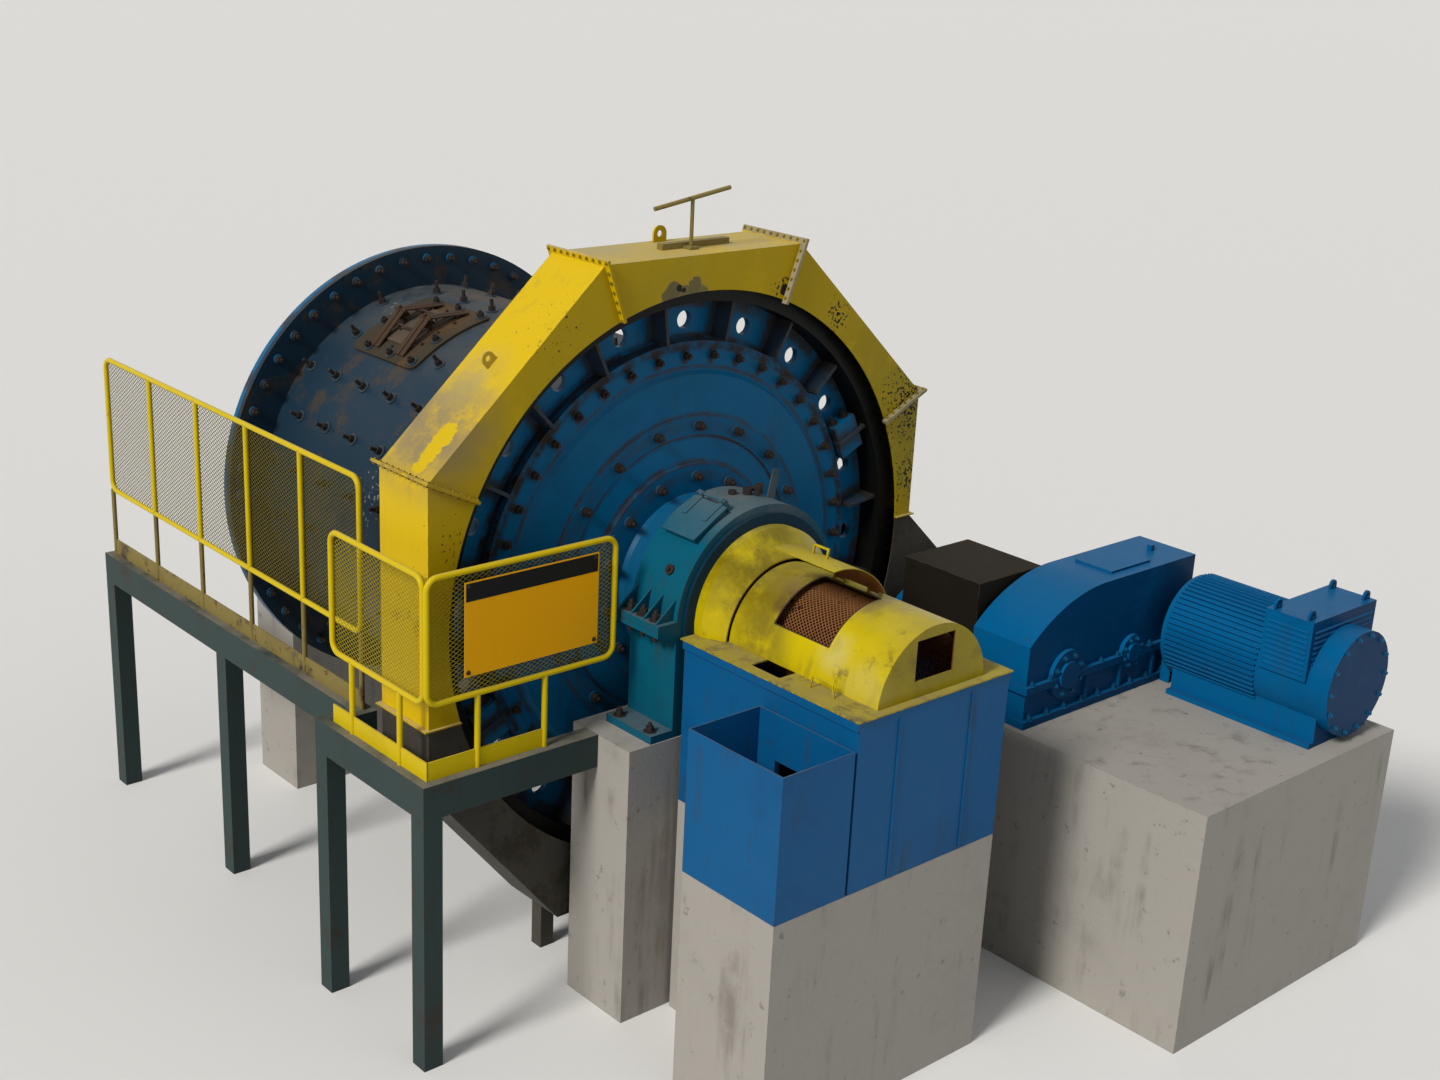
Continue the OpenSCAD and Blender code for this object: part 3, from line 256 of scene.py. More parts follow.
def makeRuns():  # dirt that ran down, longer than wide
    tree, given = newGroup("runs", Scale=9.0, Amount=0.5)
    stretched = vectorNode(tree, "MULTIPLY", given["Vector"], (1, 1, 0.12))
    lines = rampNode(tree, noiseNode(tree, stretched, given["Scale"], 3.0), 0.5, 0.72)
    broken = rampNode(tree, noiseNode(tree, given["Vector"], 2.2), 0.4, 0.65)
    return closeGroup(tree, times(tree, lines, broken, given["Amount"]))


def makeEdgeWear():  # paint rubbed or dirty along edges
    tree, given = newGroup("edgeWear", Scale=12.0, Amount=0.6)
    bevel = tree.nodes.new("ShaderNodeBevel")
    bevel.samples = 6
    bevel.inputs["Radius"].default_value = 0.012
    geometry = tree.nodes.new("ShaderNodeNewGeometry")
    dot = vectorNode(tree, "DOT_PRODUCT", bevel.outputs["Normal"], geometry.outputs["Normal"])
    edge = rampNode(tree, mathNode(tree, "SUBTRACT", 1.0, dot), 0.01, 0.12)
    broken = rampNode(tree, noiseNode(tree, given["Vector"], given["Scale"], 4.0, 0.7), 0.38, 0.6)
    return closeGroup(tree, times(tree, edge, broken, given["Amount"]))


def fromAxis(tree, vector):  # place along X, height over the mill axis and distance from it
    place = splitNode(tree, vector)
    height = mathNode(tree, "SUBTRACT", place["Z"], axisZ)
    square = mathNode(tree, "ADD", times(tree, place["X"], place["X"]), times(tree, height, height))
    return place["X"], height, mathNode(tree, "SQRT", square)


def makeRingStain():  # a stained ring round the mill axis
    tree, given = newGroup("ringStain", Radius=1.0, Width=0.05, Amount=0.8)
    gap = mathNode(tree, "SUBTRACT", fromAxis(tree, given["Vector"])[2], given["Radius"])
    away = mathNode(tree, "DIVIDE", mathNode(tree, "ABSOLUTE", gap), given["Width"])
    near = rampNode(tree, mathNode(tree, "SUBTRACT", 1.0, away, clamp=True), 0.0, 0.6)
    broken = rampNode(tree, noiseNode(tree, given["Vector"], 6.0, 6.0, 0.7), 0.3, 0.62)
    return closeGroup(tree, times(tree, near, broken, given["Amount"]))


def makeSpokes():  # dark bands beside the ribs of the gear web: grease, and painted shadow on the ribs' sides
    tree, given = newGroup("spokes", Start=7.0, Step=18.0, From=1.74, To=9.0, Amount=0.9)
    x, height, radius = fromAxis(tree, given["Vector"])
    turned = times(tree, mathNode(tree, "ARCTAN2", height, x), 180 / math.pi)
    steps = mathNode(tree, "DIVIDE", mathNode(tree, "SUBTRACT", turned, given["Start"]), given["Step"])
    wobble = noiseNode(tree, given["Vector"], 7.0, 5.0, 0.7)
    away = mathNode(tree, "ADD", mathNode(tree, "PINGPONG", steps, 0.5), times(tree, wobble, 0.22))
    ragged = mathNode(tree, "ADD", radius, times(tree, wobble, 0.03))
    between = times(tree, mathNode(tree, "GREATER_THAN", ragged, given["From"]),
                    mathNode(tree, "LESS_THAN", ragged, given["To"]))
    return closeGroup(tree, times(tree, rampNode(tree, away, 0.29, 0.17), between, given["Amount"]))


def placeGroup(name, **inputs):  # a group for one place, with its centre as a vector
    tree, given = newGroup(name, X=0.0, Y=0.0, Z=0.0, Amount=1.0, **inputs)
    centre = tree.nodes.new("ShaderNodeCombineXYZ")
    for axis in "XYZ":
        tree.links.new(given[axis], centre.inputs[axis])
    return tree, given, centre.outputs[0]


def reachFrom(tree, given, centre):  # distance from the centre in steps of Size
    gap = vectorNode(tree, "DISTANCE", given["Vector"], centre)
    return mathNode(tree, "DIVIDE", gap, given["Size"])


def nearness(tree, given, centre):  # 1 at the centre, 0 from Size outwards
    return mathNode(tree, "SUBTRACT", 1.0, reachFrom(tree, given, centre), clamp=True)


def makeSpot():  # a ragged round spot at one place
    tree, given, centre = placeGroup("spot", Size=0.2)
    ragged = times(tree, noiseNode(tree, given["Vector"], 19.0, 6.0, 0.7), 1.6)
    inside = mathNode(tree, "SUBTRACT", 1.75, mathNode(tree, "ADD", reachFrom(tree, given, centre), ragged))
    return closeGroup(tree, times(tree, rampNode(tree, inside, 0.0, 0.12), given["Amount"]))


def makeSpecks():  # small splashes that crowd towards one place
    tree, given, centre = placeGroup("specks", Size=0.6, Scale=37.0)
    near = times(tree, nearness(tree, given, centre), given["Amount"])
    edge = mathNode(tree, "SUBTRACT", 0.80, times(tree, near, 0.42))
    fine = noiseNode(tree, given["Vector"], given["Scale"], 3.0, 0.55)
    return closeGroup(tree, rampNode(tree, fine, edge, mathNode(tree, "ADD", edge, 0.03)))


def makeCloud():  # a soft cloud round one place, for dust, a film of dirt, painted shade or a painted highlight
    tree, given, centre = placeGroup("cloud", Size=1.0)
    near = rampNode(tree, nearness(tree, given, centre), 0.0, 0.8)
    uneven = rampNode(tree, noiseNode(tree, given["Vector"], 3.5, 6.0, 0.7), 0.25, 0.62)
    return closeGroup(tree, times(tree, near, uneven, given["Amount"]))


def makeInside():  # the hollow side of plate bent round a centre line along Y
    tree, given, centre = placeGroup("insideFace")
    away = vectorNode(tree, "SUBTRACT", given["Vector"], centre)
    flat = vectorNode(tree, "MULTIPLY", away, (1, 0, 1))
    normal = tree.nodes.new("ShaderNodeTexCoord").outputs["Normal"]
    inwards = mathNode(tree, "LESS_THAN", vectorNode(tree, "DOT_PRODUCT", flat, normal), -0.15)
    return closeGroup(tree, times(tree, inwards, given["Amount"]))


groups = {made.name: made for made in (
    makePatches(), makeDustAndShadeFilm("topDust", "Z", 1.0, (0.72, 1.0), (0.25, 0.6)),
    # the film made here for faces turned to -Y, the front, is painted shade
    makeDustAndShadeFilm("paintedFrontShade", "Y", -1.0, (0.6, 0.95), (0.1, 0.5)), makeRuns(), makeEdgeWear(), makeRingStain(),
    makeSpot(), makeSpecks(), makeCloud(), makeInside(), makeSpokes())}


# Finishes

def startFinish(name, colour, rough, gloss=0.14, metal=0.0):
    mat = bpy.data.materials.new(name)
    mat.use_nodes = True
    tree = mat.node_tree
    shader = tree.nodes["Principled BSDF"]
    shader.inputs["Metallic"].default_value = metal
    shader.inputs["Roughness"].default_value = rough
    shader.inputs["Specular IOR Level"].default_value = gloss
    rgb = tree.nodes.new("ShaderNodeRGB")
    rgb.outputs[0].default_value = (*colour, 1)
    return {"mat": mat, "tree": tree, "shader": shader, "colour": rgb.outputs[0], "rough": rough,
            "where": tree.nodes.new("ShaderNodeTexCoord").outputs["Object"]}


def maskOf(finish, group, **values):
    n = finish["tree"].nodes.new("ShaderNodeGroup")
    n.node_tree = groups[group]
    finish["tree"].links.new(finish["where"], n.inputs["Vector"])
    for label, v in values.items():
        n.inputs[label].default_value = v
    return n.outputs["Mask"]


def coat(finish, colour, mask):  # lays one more colour over what is there
    mix = finish["tree"].nodes.new("ShaderNodeMix")
    mix.data_type = "RGBA"
    finish["tree"].links.new(mask, mix.inputs["Factor"])
    finish["tree"].links.new(finish["colour"], mix.inputs["A"])
    mix.inputs["B"].default_value = (*colour, 1)
    finish["colour"] = mix.outputs["Result"]
    finish["tree"].links.new(mix.outputs["Result"], finish["shader"].inputs["Base Color"])
    return mask


def patchy(finish, colour, scale, amount, softness):
    return coat(finish, colour, maskOf(finish, "patches", Scale=scale, Amount=amount, Softness=softness))


def roughen(finish, mask, roughThere):
    level = levelNode(finish["tree"], mask, finish["rough"], roughThere)
    finish["tree"].links.new(level, finish["shader"].inputs["Roughness"])


def bumpBy(finish, scale, strength, distance=0.004):
    tree = finish["tree"]
    bump = tree.nodes.new("ShaderNodeBump")
    bump.inputs["Strength"].default_value = strength
    bump.inputs["Distance"].default_value = distance
    tree.links.new(noiseNode(tree, finish["where"], scale, 5.0), bump.inputs["Height"])
    tree.links.new(bump.outputs[0], finish["shader"].inputs["Normal"])


def paintFinish(name, look):
    f = startFinish(name, look["colour"], look["rough"], look.get("gloss", 0.14))
    patchy(f, look["shade"], 0.9, 0.55, 0.35)
    dirt, dirtAmount = look["dirt"]
    if "runs" in look:
        coat(f, dirt, maskOf(f, "runs", Scale=11.0, Amount=look["runs"]))
    patchy(f, dirt, 3.0, dirtAmount, 0.12)
    if "chips" in look:
        patchy(f, look["chips"][0], 14.0, look["chips"][1], 0.03)
    if "edge" in look:
        coat(f, look["chips"][0], maskOf(f, "edgeWear", Amount=look["edge"]))
    # painted shade on faces turned to the front
    if "frontShade" in look:
        coat(f, look["frontShade"][0], maskOf(f, "paintedFrontShade", Amount=look["frontShade"][1]))
    here = marks.get(look["name"], {"from": (0, 0, 0), "rows": {}})
    for group, rows in here["rows"].items():
        for x, y, z, size, amount, colour in rows:
            spot = {axis: start + step for axis, start, step in zip("XYZ", here["from"], (x, y, z))}
            coat(f, colour, maskOf(f, group, Size=size, Amount=amount, **spot))
    for x, y, z, size, amount in here.get("splashes", ()):
        coat(f, slurryGrey, maskOf(f, "specks", X=x, Y=y, Z=axisZ + z, Size=size, Amount=amount, Scale=30.0))
    dustMask = coat(f, look["dust"][0], maskOf(f, "topDust", Scale=look.get("dustScale", 1.6),
                                               Amount=look["dust"][1]))
    roughen(f, dustMask, 0.85)
    bumpBy(f, 60, look.get("bump", 0.15), 0.003)
    return f


paleDust = (0.52, 0.43, 0.22)
greyDust = (0.30, 0.26, 0.20)
slurryGrey = (0.22, 0.23, 0.23)
rustBrown = (0.10, 0.042, 0.018)
rustOrange = (0.24, 0.085, 0.022)
greaseBlack = (0.012, 0.011, 0.010)

# Some looks darken their faces turned to the front with a colour and amount: painted shade
looks = {
    "guard_yellow": {"colour": (0.66, 0.45, 0.001), "shade": (0.55, 0.385, 0.004),
                     "dirt": ((0.30, 0.21, 0.03), 0.10), "runs": 0.25, "chips": ((0.10, 0.07, 0.02), 0.05),
                     "edge": 0.75, "dust": ((0.50, 0.41, 0.20), 1.0), "dustScale": 0.8,
                     "frontShade": ((0.36, 0.25, 0.002), 0.75), "rough": 0.42},
    "hood_yellow": {"colour": (0.56, 0.44, 0.001), "shade": (0.30, 0.25, 0.004),
                    "dirt": ((0.16, 0.13, 0.02), 0.36), "runs": 0.4, "chips": ((0.12, 0.075, 0.02), 0.10),
                    "edge": 0.8, "dust": ((0.40, 0.33, 0.09), 0.4), "frontShade": ((0.24, 0.185, 0.008), 0.7),
                    "rough": 0.28, "gloss": 0.2},
    "deck_yellow": {"colour": (0.42, 0.34, 0.02), "shade": (0.27, 0.22, 0.03),
                    "dirt": ((0.13, 0.10, 0.04), 0.5), "chips": ((0.08, 0.04, 0.02), 0.2), "edge": 0.7,
                    "dust": ((0.30, 0.25, 0.10), 0.7), "rough": 0.5},
    "rail_yellow": {"colour": (0.62, 0.46, 0.002), "shade": (0.48, 0.36, 0.006),
                    "dirt": ((0.15, 0.11, 0.02), 0.22), "chips": ((0.07, 0.05, 0.03), 0.12), "edge": 0.3,
                    "dust": (paleDust, 0.3), "rough": 0.36},
    "mesh_yellow": {"colour": (0.30, 0.24, 0.010), "shade": (0.17, 0.14, 0.014),
                    "dirt": ((0.05, 0.045, 0.02), 0.35), "chips": ((0.05, 0.04, 0.02), 0.2),
                    "dust": (paleDust, 0.2), "rough": 0.55},
    "bearing_blue": {"colour": (0.003, 0.10, 0.165), "shade": (0.003, 0.062, 0.108),
                     "dirt": ((0.03, 0.045, 0.05), 0.25), "runs": 0.5, "chips": ((0.03, 0.028, 0.025), 0.10),
                     "edge": 0.55, "dust": ((0.14, 0.16, 0.155), 0.55), "frontShade": ((0.004, 0.055, 0.095), 0.75),
                     "rough": 0.34},
    "seal_rubber": {"colour": (0.003, 0.025, 0.048), "shade": (0.003, 0.015, 0.03),
                    "dirt": ((0.015, 0.02, 0.025), 0.3), "dust": ((0.05, 0.06, 0.06), 0.3), "rough": 0.5},
    "pan_grey": {"colour": (0.065, 0.060, 0.050), "shade": (0.042, 0.038, 0.032),
                 "dirt": ((0.04, 0.035, 0.025), 0.5), "runs": 0.8, "chips": (rustBrown, 0.2), "edge": 0.5,
                 "dust": (greyDust, 0.7), "rough": 0.6},
    "dull_steel": {"colour": (0.22, 0.17, 0.05), "shade": (0.11, 0.085, 0.04),
                   "dirt": ((0.05, 0.04, 0.03), 0.4), "chips": (rustBrown, 0.3), "dust": (paleDust, 0.2),
                   "rough": 0.55},
    "tank_blue": {"colour": (0.003, 0.095, 0.26), "shade": (0.003, 0.06, 0.18),
                  "dirt": ((0.03, 0.045, 0.06), 0.2), "runs": 0.6, "chips": ((0.05, 0.035, 0.03), 0.08),
                  "edge": 0.5, "dust": ((0.16, 0.18, 0.18), 0.5), "rough": 0.34},
    "drive_blue": {"colour": (0.001, 0.105, 0.275), "shade": (0.001, 0.072, 0.205),
                   "dirt": ((0.02, 0.05, 0.08), 0.14), "runs": 0.25, "chips": ((0.02, 0.03, 0.04), 0.05),
                   "edge": 0.35, "dust": ((0.03, 0.11, 0.22), 0.2), "frontShade": ((0.001, 0.026, 0.085), 0.8),
                   "rough": 0.32, "gloss": 0.05},
    "cover_grey": {"colour": (0.014, 0.011, 0.008), "shade": (0.010, 0.008, 0.006),
                   "dirt": ((0.015, 0.012, 0.009), 0.45), "runs": 0.5, "chips": ((0.075, 0.062, 0.048), 0.16),
                   "edge": 0.8, "dust": ((0.034, 0.027, 0.018), 0.8), "rough": 0.65, "gloss": 0.08},
    "beam_green": {"colour": (0.030, 0.052, 0.050), "shade": (0.022, 0.032, 0.032),
                   "dirt": ((0.04, 0.035, 0.03), 0.4), "runs": 0.6, "chips": (rustBrown, 0.2), "edge": 0.5,
                   "dust": (greyDust, 0.6), "rough": 0.55},
    "notice_orange": {"colour": (0.82, 0.39, 0.003), "shade": (0.72, 0.33, 0.004),
                      "dirt": ((0.30, 0.16, 0.02), 0.10), "chips": ((0.1, 0.08, 0.05), 0.03),
                      "dust": (paleDust, 0.1), "rough": 0.35},
    "shell_paint": {"colour": (0.010, 0.029, 0.052), "shade": (0.030, 0.036, 0.042),
                    "dirt": ((0.045, 0.038, 0.030), 0.45), "chips": (rustBrown, 0.12), "edge": 0.4,
                    "dust": ((0.080, 0.086, 0.084), 0.85), "rough": 0.42},
    "rusty_plate": {"colour": (0.042, 0.034, 0.022), "shade": (0.029, 0.026, 0.020),
                    "dirt": ((0.095, 0.047, 0.016), 0.36), "chips": (rustBrown, 0.2), "edge": 0.5,
                    "dust": ((0.062, 0.052, 0.036), 0.5), "rough": 0.75, "bump": 0.4},
    "rusty_screen": {"colour": (0.24, 0.10, 0.035), "shade": (0.14, 0.058, 0.022),
                     "dirt": ((0.06, 0.03, 0.015), 0.35), "chips": ((0.05, 0.025, 0.015), 0.3),
                     "dust": ((0.30, 0.16, 0.07), 0.3), "rough": 0.8, "bump": 0.3},
    "coupling_red": {"colour": (0.30, 0.05, 0.02), "shade": (0.18, 0.035, 0.015),
                     "dirt": ((0.04, 0.03, 0.02), 0.4), "chips": (rustBrown, 0.2), "edge": 0.4,
                     "dust": (greyDust, 0.4), "rough": 0.5},
}
for name, look in looks.items():
    look["name"] = name

# Marks at known places: x, y and z from a start point, size, amount and colour
guardFace = guardLow[1] + 0.05
marks = {
    "guard_yellow": {"from": (0, guardFace, axisZ), "rows": {
        "cloud": [
            (-2.25, 0.25, 1.50, 0.70, 1.0, (0.22, 0.17, 0.095)),  # dust at the foot of the left shoulder
            (-2.12, 0.40, 1.52, 0.62, 1.0, (0.26, 0.205, 0.11)),
            (-1.75, 0.35, 1.68, 0.40, 0.55, (0.42, 0.34, 0.13)),
            (1.9, 0, 1.2, 1.5, 0.85, (0.34, 0.255, 0.008)),  # this row and the next: painted shade on the right side, with some oily film
            (2.3, 0, 0.5, 1.3, 0.85, (0.30, 0.24, 0.014)),
            (-0.3, 0, 2.3, 0.5, 0.5, (0.36, 0.27, 0.02)),
        ],
        "spot": [
            (-0.37, 0, 2.150, 0.050, 1.0, (0.15, 0.125, 0.05)),
            (-0.30, 0, 2.190, 0.075, 1.0, (0.14, 0.115, 0.05)),
            (-0.20, 0, 2.165, 0.062, 1.0, (0.17, 0.14, 0.06)),
            (-0.11, 0, 2.195, 0.070, 1.0, (0.15, 0.125, 0.05)),
            (-0.03, 0, 2.160, 0.045, 1.0, (0.18, 0.15, 0.05)),
            (-0.25, 0, 2.200, 0.030, 1.0, greaseBlack),
            (-0.21, 0, 2.185, 0.024, 1.0, greaseBlack),
            (0.76, 0, 2.09, 0.045, 1.0, greaseBlack),
        ],
        "specks": [
            (2.25, 0, 1.05, 0.75, 0.85, greaseBlack),
            (1.33, 0, 1.84, 0.28, 0.8, greaseBlack),
            (2.3, 0, 0.45, 0.6, 0.75, greaseBlack),
            (0.75, 0, 2.12, 0.2, 0.8, greaseBlack),
            (-1.3, 0, 2.0, 0.8, 0.45, greaseBlack),
            (-2.05, 0, 0.62, 0.6, 0.55, greaseBlack),
        ]}},
    "hood_yellow": {"from": (0, 0, axisZ), "rows": {"cloud": [
        # darker neck of the hood: painted shade
        (-0.25, -0.75, 0.35, 0.5, 0.8, (0.17, 0.12, 0.02)),
        (0.05, -1.45, 0.42, 0.35, 0.8, (0.20, 0.15, 0.04)),
        # two pale patches low on the left of the hood: painted highlights
        (-0.44, -1.47, 0.16, 0.20, 0.55, (0.55, 0.49, 0.20)),
        (-0.50, -1.80, 0.03, 0.24, 0.5, (0.56, 0.48, 0.16)),
        (-0.45, -0.8, 0, 0.4, 0.8, (0.16, 0.13, 0.02)),
        (0.0, -1.95, 0.1, 0.7, 0.5, (0.20, 0.15, 0.01)),
        # painted shade over the neck of the hood
        (-0.25, -0.42, 0.60, 0.8, 1.0, (0.17, 0.13, 0.002)),
        (-0.10, -0.84, 0.40, 0.17, 1.0, (0.12, 0.07, 0.02)),
        (-0.22, -0.85, 0.36, 0.15, 1.0, (0.12, 0.07, 0.02)),
        (-0.34, -0.86, 0.28, 0.12, 1.0, (0.12, 0.08, 0.02)),
        (0.02, -1.44, 0.41, 0.16, 1.0, (0.17, 0.13, 0.07)),
        (-0.12, -1.43, 0.39, 0.10, 0.9, (0.20, 0.15, 0.07)),
    ]}},
    "shell_paint": {"from": (0, 0, axisZ), "rows": {"cloud": [
        (0.25, 3.55, 1.58, 0.45, 0.85, (0.19, 0.085, 0.028)),
        (0.45, 3.2, 1.5, 0.5, 0.85, rustOrange),
    ]}, "splashes": [
        (-1.45, 2.0, 0.6, 0.55, 0.62),
        (-1.52, 2.5, 0.35, 0.5, 0.60),
        (-0.55, 3.7, 1.46, 0.45, 0.55),
    ]},
    "bearing_blue": {"from": (0, (capLow[1] + capHigh[1]) / 2, capHigh[2]), "rows": {"cloud": [
        (0.05, 0, 0, 0.55, 0.9, (0.13, 0.14, 0.135)),
        (0.40, 0, -0.12, 0.40, 0.8, (0.10, 0.11, 0.105)),
    ]}},
    "rusty_plate": {"from": ((manholeLow[0] + manholeHigh[0]) / 2, (manholeLow[1] + manholeHigh[1]) / 2,
                             manholeHigh[2]), "rows": {"cloud": [
        (0.12, -0.10, 0, 0.42, 0.85, (0.15, 0.065, 0.02)),
        (-0.25, -0.20, -0.05, 0.30, 0.7, (0.11, 0.052, 0.018)),
    ]}},
}
barePatch = {"spots": 5, "x": 0.044, "y": 0.20, "z": 1.12, "slope": (0.72, 0.70), "first": 0.09, "step": 0.07,
             "size": 0.075, "grow": 0.006, "colour": (0.62, 0.43, 0.002)}
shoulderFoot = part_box("guard_left_shoulder")[0][0]
for k in range(barePatch["spots"]):  # a patch at the foot of the left shoulder where the dust came off
    up = barePatch["first"] + barePatch["step"] * k
    x = shoulderFoot + barePatch["x"] + barePatch["slope"][0] * up
    z = barePatch["z"] + barePatch["slope"][1] * up
    size = barePatch["size"] + barePatch["grow"] * k
    marks["guard_yellow"]["rows"]["spot"].append((x, barePatch["y"], z, size, 1.0, barePatch["colour"]))

finishes = {name: paintFinish(name, look) for name, look in looks.items()}

hatchPaint = paintFinish("hatchPaint", looks["hood_yellow"])
bareInside = {"rust": (0.17, 0.062, 0.018), "dark": (0.06, 0.026, 0.012)}
for finish, x, z in ((hatchPaint, -0.4075, 0.1906), (finishes["hood_yellow"], 0.0, -0.1)):
    hollow = coat(finish, bareInside["rust"], maskOf(finish, "insideFace", X=x, Y=0.0, Z=axisZ + z))
    darker = maskOf(finish, "patches", Scale=7.0, Amount=0.5, Softness=0.2)
    coat(finish, bareInside["dark"], times(finish["tree"], hollow, darker))

headBlue = startFinish("head_blue", (0.001, 0.115, 0.265), 0.36, 0.12)
patchy(headBlue, (0.001, 0.066, 0.162), 0.8, 0.5, 0.3)
patchy(headBlue, (0.022, 0.048, 0.070), 1.8, 0.34, 0.25)
patchy(headBlue, (0.02, 0.015, 0.012), 26.0, 0.2, 0.05)
coat(headBlue, (0.012, 0.060, 0.105), maskOf(headBlue, "runs", Scale=7.0, Amount=0.6))
ringStains = ((1.56, 0.022, 0.75), (1.215, 0.028, 0.7), (1.135, 0.065, 0.35), (1.055, 0.02, 0.85),
              (0.865, 0.03, 0.85), (0.77, 0.06, 0.45), (2.03, 0.075, 0.95))  # radius, width and amount
for radius, width, amount in ringStains:
    ringMask = maskOf(headBlue, "ringStain", Radius=radius, Width=width, Amount=amount)
    coat(headBlue, (0.045, 0.034, 0.028), ringMask)
ribGrease = maskOf(headBlue, "spokes", Start=0.0, Step=9.0, From=1.60, To=1.74, Amount=0.85)
coat(headBlue, (0.040, 0.033, 0.028), ribGrease)
coat(headBlue, (0.022, 0.016, 0.012), maskOf(headBlue, "ringStain", Radius=1.738, Width=0.075, Amount=1.0))
# brown beside the web ribs: grease, and painted shadow on the ribs' sides
coat(headBlue, (0.034, 0.027, 0.021), maskOf(headBlue, "spokes", Start=7.0, Step=18.0, From=1.78, Amount=0.8))
patchy(headBlue, rustBrown, 7.0, 0.10, 0.06)
headEdges = coat(headBlue, (0.09, 0.072, 0.058), maskOf(headBlue, "edgeWear", Amount=0.8))
roughen(headBlue, headEdges, 0.8)
bumpBy(headBlue, 40, 0.2)

greased = startFinish("greased_steel", (0.006, 0.006, 0.005), 0.42)
patchy(greased, (0.020, 0.016, 0.011), 2.5, 0.35, 0.3)
thickGrease = patchy(greased, (0.003, 0.003, 0.003), 12.0, 0.4, 0.1)
roughen(greased, thickGrease, 0.28)
bumpBy(greased, 25, 0.5, 0.006)

concrete = startFinish("concrete", (0.36, 0.34, 0.31), 0.85)
patchy(concrete, (0.26, 0.245, 0.22), 0.7, 0.5, 0.4)
coat(concrete, (0.15, 0.135, 0.115), maskOf(concrete, "runs", Scale=5.0, Amount=0.6))
patchy(concrete, (0.20, 0.185, 0.165), 9.0, 0.3, 0.1)
coat(concrete, (0.10, 0.09, 0.075), maskOf(concrete, "edgeWear", Amount=0.4))
bumpBy(concrete, 30, 0.5, 0.006)

rustyDoor = startFinish("rustyDoor", (0.085, 0.068, 0.052), 0.75)
coat(rustyDoor, (0.20, 0.085, 0.026), maskOf(rustyDoor, "edgeWear", Amount=1.0))
patchy(rustyDoor, (0.15, 0.062, 0.020), 3.5, 0.45, 0.25)
bumpBy(rustyDoor, 70, 0.4, 0.002)
finishes.update({"head_blue": headBlue, "greased_steel": greased, "concrete": concrete,
                 "rustyDoor": rustyDoor})

# Small finishes: base colour, roughness, patches as colour, scale, amount and softness, and a bump
smallLooks = {
    "rustyBolt": {"colour": (0.032, 0.026, 0.023), "rough": 0.55, "metal": 0.1, "bump": (120, 0.4, 0.002),
                  "patches": [((0.022, 0.019, 0.017), 8.0, 0.5, 0.2),
                              ((0.085, 0.045, 0.024), 25.0, 0.28, 0.1)]},
    "rustyFrame": {"colour": (0.058, 0.034, 0.021), "rough": 0.75, "bump": (90, 0.4, 0.002),
                   "patches": [((0.028, 0.022, 0.018), 9.0, 0.5, 0.2),
                               ((0.13, 0.058, 0.022), 5.0, 0.25, 0.2)]},
    "shellWasher": {"colour": (0.030, 0.048, 0.066), "rough": 0.5,
                    "patches": [((0.10, 0.065, 0.04), 9.0, 0.45, 0.2),
                                ((0.12, 0.13, 0.13), 22.0, 0.15, 0.1)]},
    "darkBand": {"colour": (0.010, 0.010, 0.010), "rough": 0.4,
                 "patches": [((0.03, 0.025, 0.015), 4.0, 0.3, 0.3)]},
    "blueBolt": {"colour": (0.003, 0.075, 0.18), "rough": 0.4,
                 "patches": [((0.02, 0.03, 0.04), 9.0, 0.4, 0.2)]},
    "meshDull": {"colour": (0.13, 0.105, 0.018), "rough": 0.6,
                 "patches": [((0.06, 0.050, 0.022), 2.0, 0.5, 0.3)]},
    "paintedBolt": {"colour": (0.24, 0.17, 0.010), "rough": 0.5,
                    "patches": [((0.05, 0.038, 0.012), 6.0, 0.5, 0.15)]},
    "paleFlange": {"colour": (0.30, 0.26, 0.15), "rough": 0.6, "bump": (60, 0.3),
                   "patches": [((0.20, 0.17, 0.10), 8.0, 0.5, 0.2), (greaseBlack, 30.0, 0.15, 0.03)]},
}
for name, look in smallLooks.items():
    finishes[name] = startFinish(name, look["colour"], look["rough"], metal=look.get("metal", 0.0))
    for patch in look["patches"]:
        patchy(finishes[name], *patch)
    if "bump" in look:
        bumpBy(finishes[name], *look["bump"])

ownFinish = {"hood_hatch": hatchPaint}
for part in frame["record"]["subparts"]:
    for materialSlot in frame["nodes"][part["node"]].material_slots:
        materialSlot.material = ownFinish.get(part["node"], finishes[part["material_slot"]])["mat"]
print("finishes ready")


# Making pieces

def newPiece(name, bm, body, finish, smooth=35):
    mesh = bpy.data.meshes.new(name)
    bm.normal_update()
    bm.to_mesh(mesh)
    bm.free()
    if smooth:
        mesh.shade_smooth()
        mesh.set_sharp_from_angle(angle=math.radians(smooth))
    mesh.materials.append(finishes[finish]["mat"])
    piece = intoScene(name, mesh)
    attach(piece, body)
    return piece


def facing(point, direction, roll=0.0):  # +Z of a shape turned to a direction at a point
    turned = Vector(direction).to_track_quat("Z", "Y").to_matrix().to_4x4()
    return Matrix.Translation(point) @ turned @ Matrix.Rotation(roll, 4, "Z")


def addBox(bm, low, high, place=None):
    size = Vector(high) - Vector(low)
    middle = (Vector(high) + Vector(low)) / 2
    m = Matrix.Translation(middle) @ Matrix.Diagonal((*size, 1))
    bmesh.ops.create_cube(bm, size=1, matrix=place @ m if place else m)


def addCone(bm, middle, direction, depth, radius, topRadius, sides, roll=0.0, caps=True):
    bmesh.ops.create_cone(bm, cap_ends=caps, segments=sides, radius1=radius, radius2=topRadius, depth=depth,
                          matrix=facing(middle, direction, roll))


def addRod(bm, start, end, radius, sides=12):
    a, b = Vector(start), Vector(end)
    addCone(bm, (a + b) / 2, b - a, (b - a).length, radius, radius, sides)


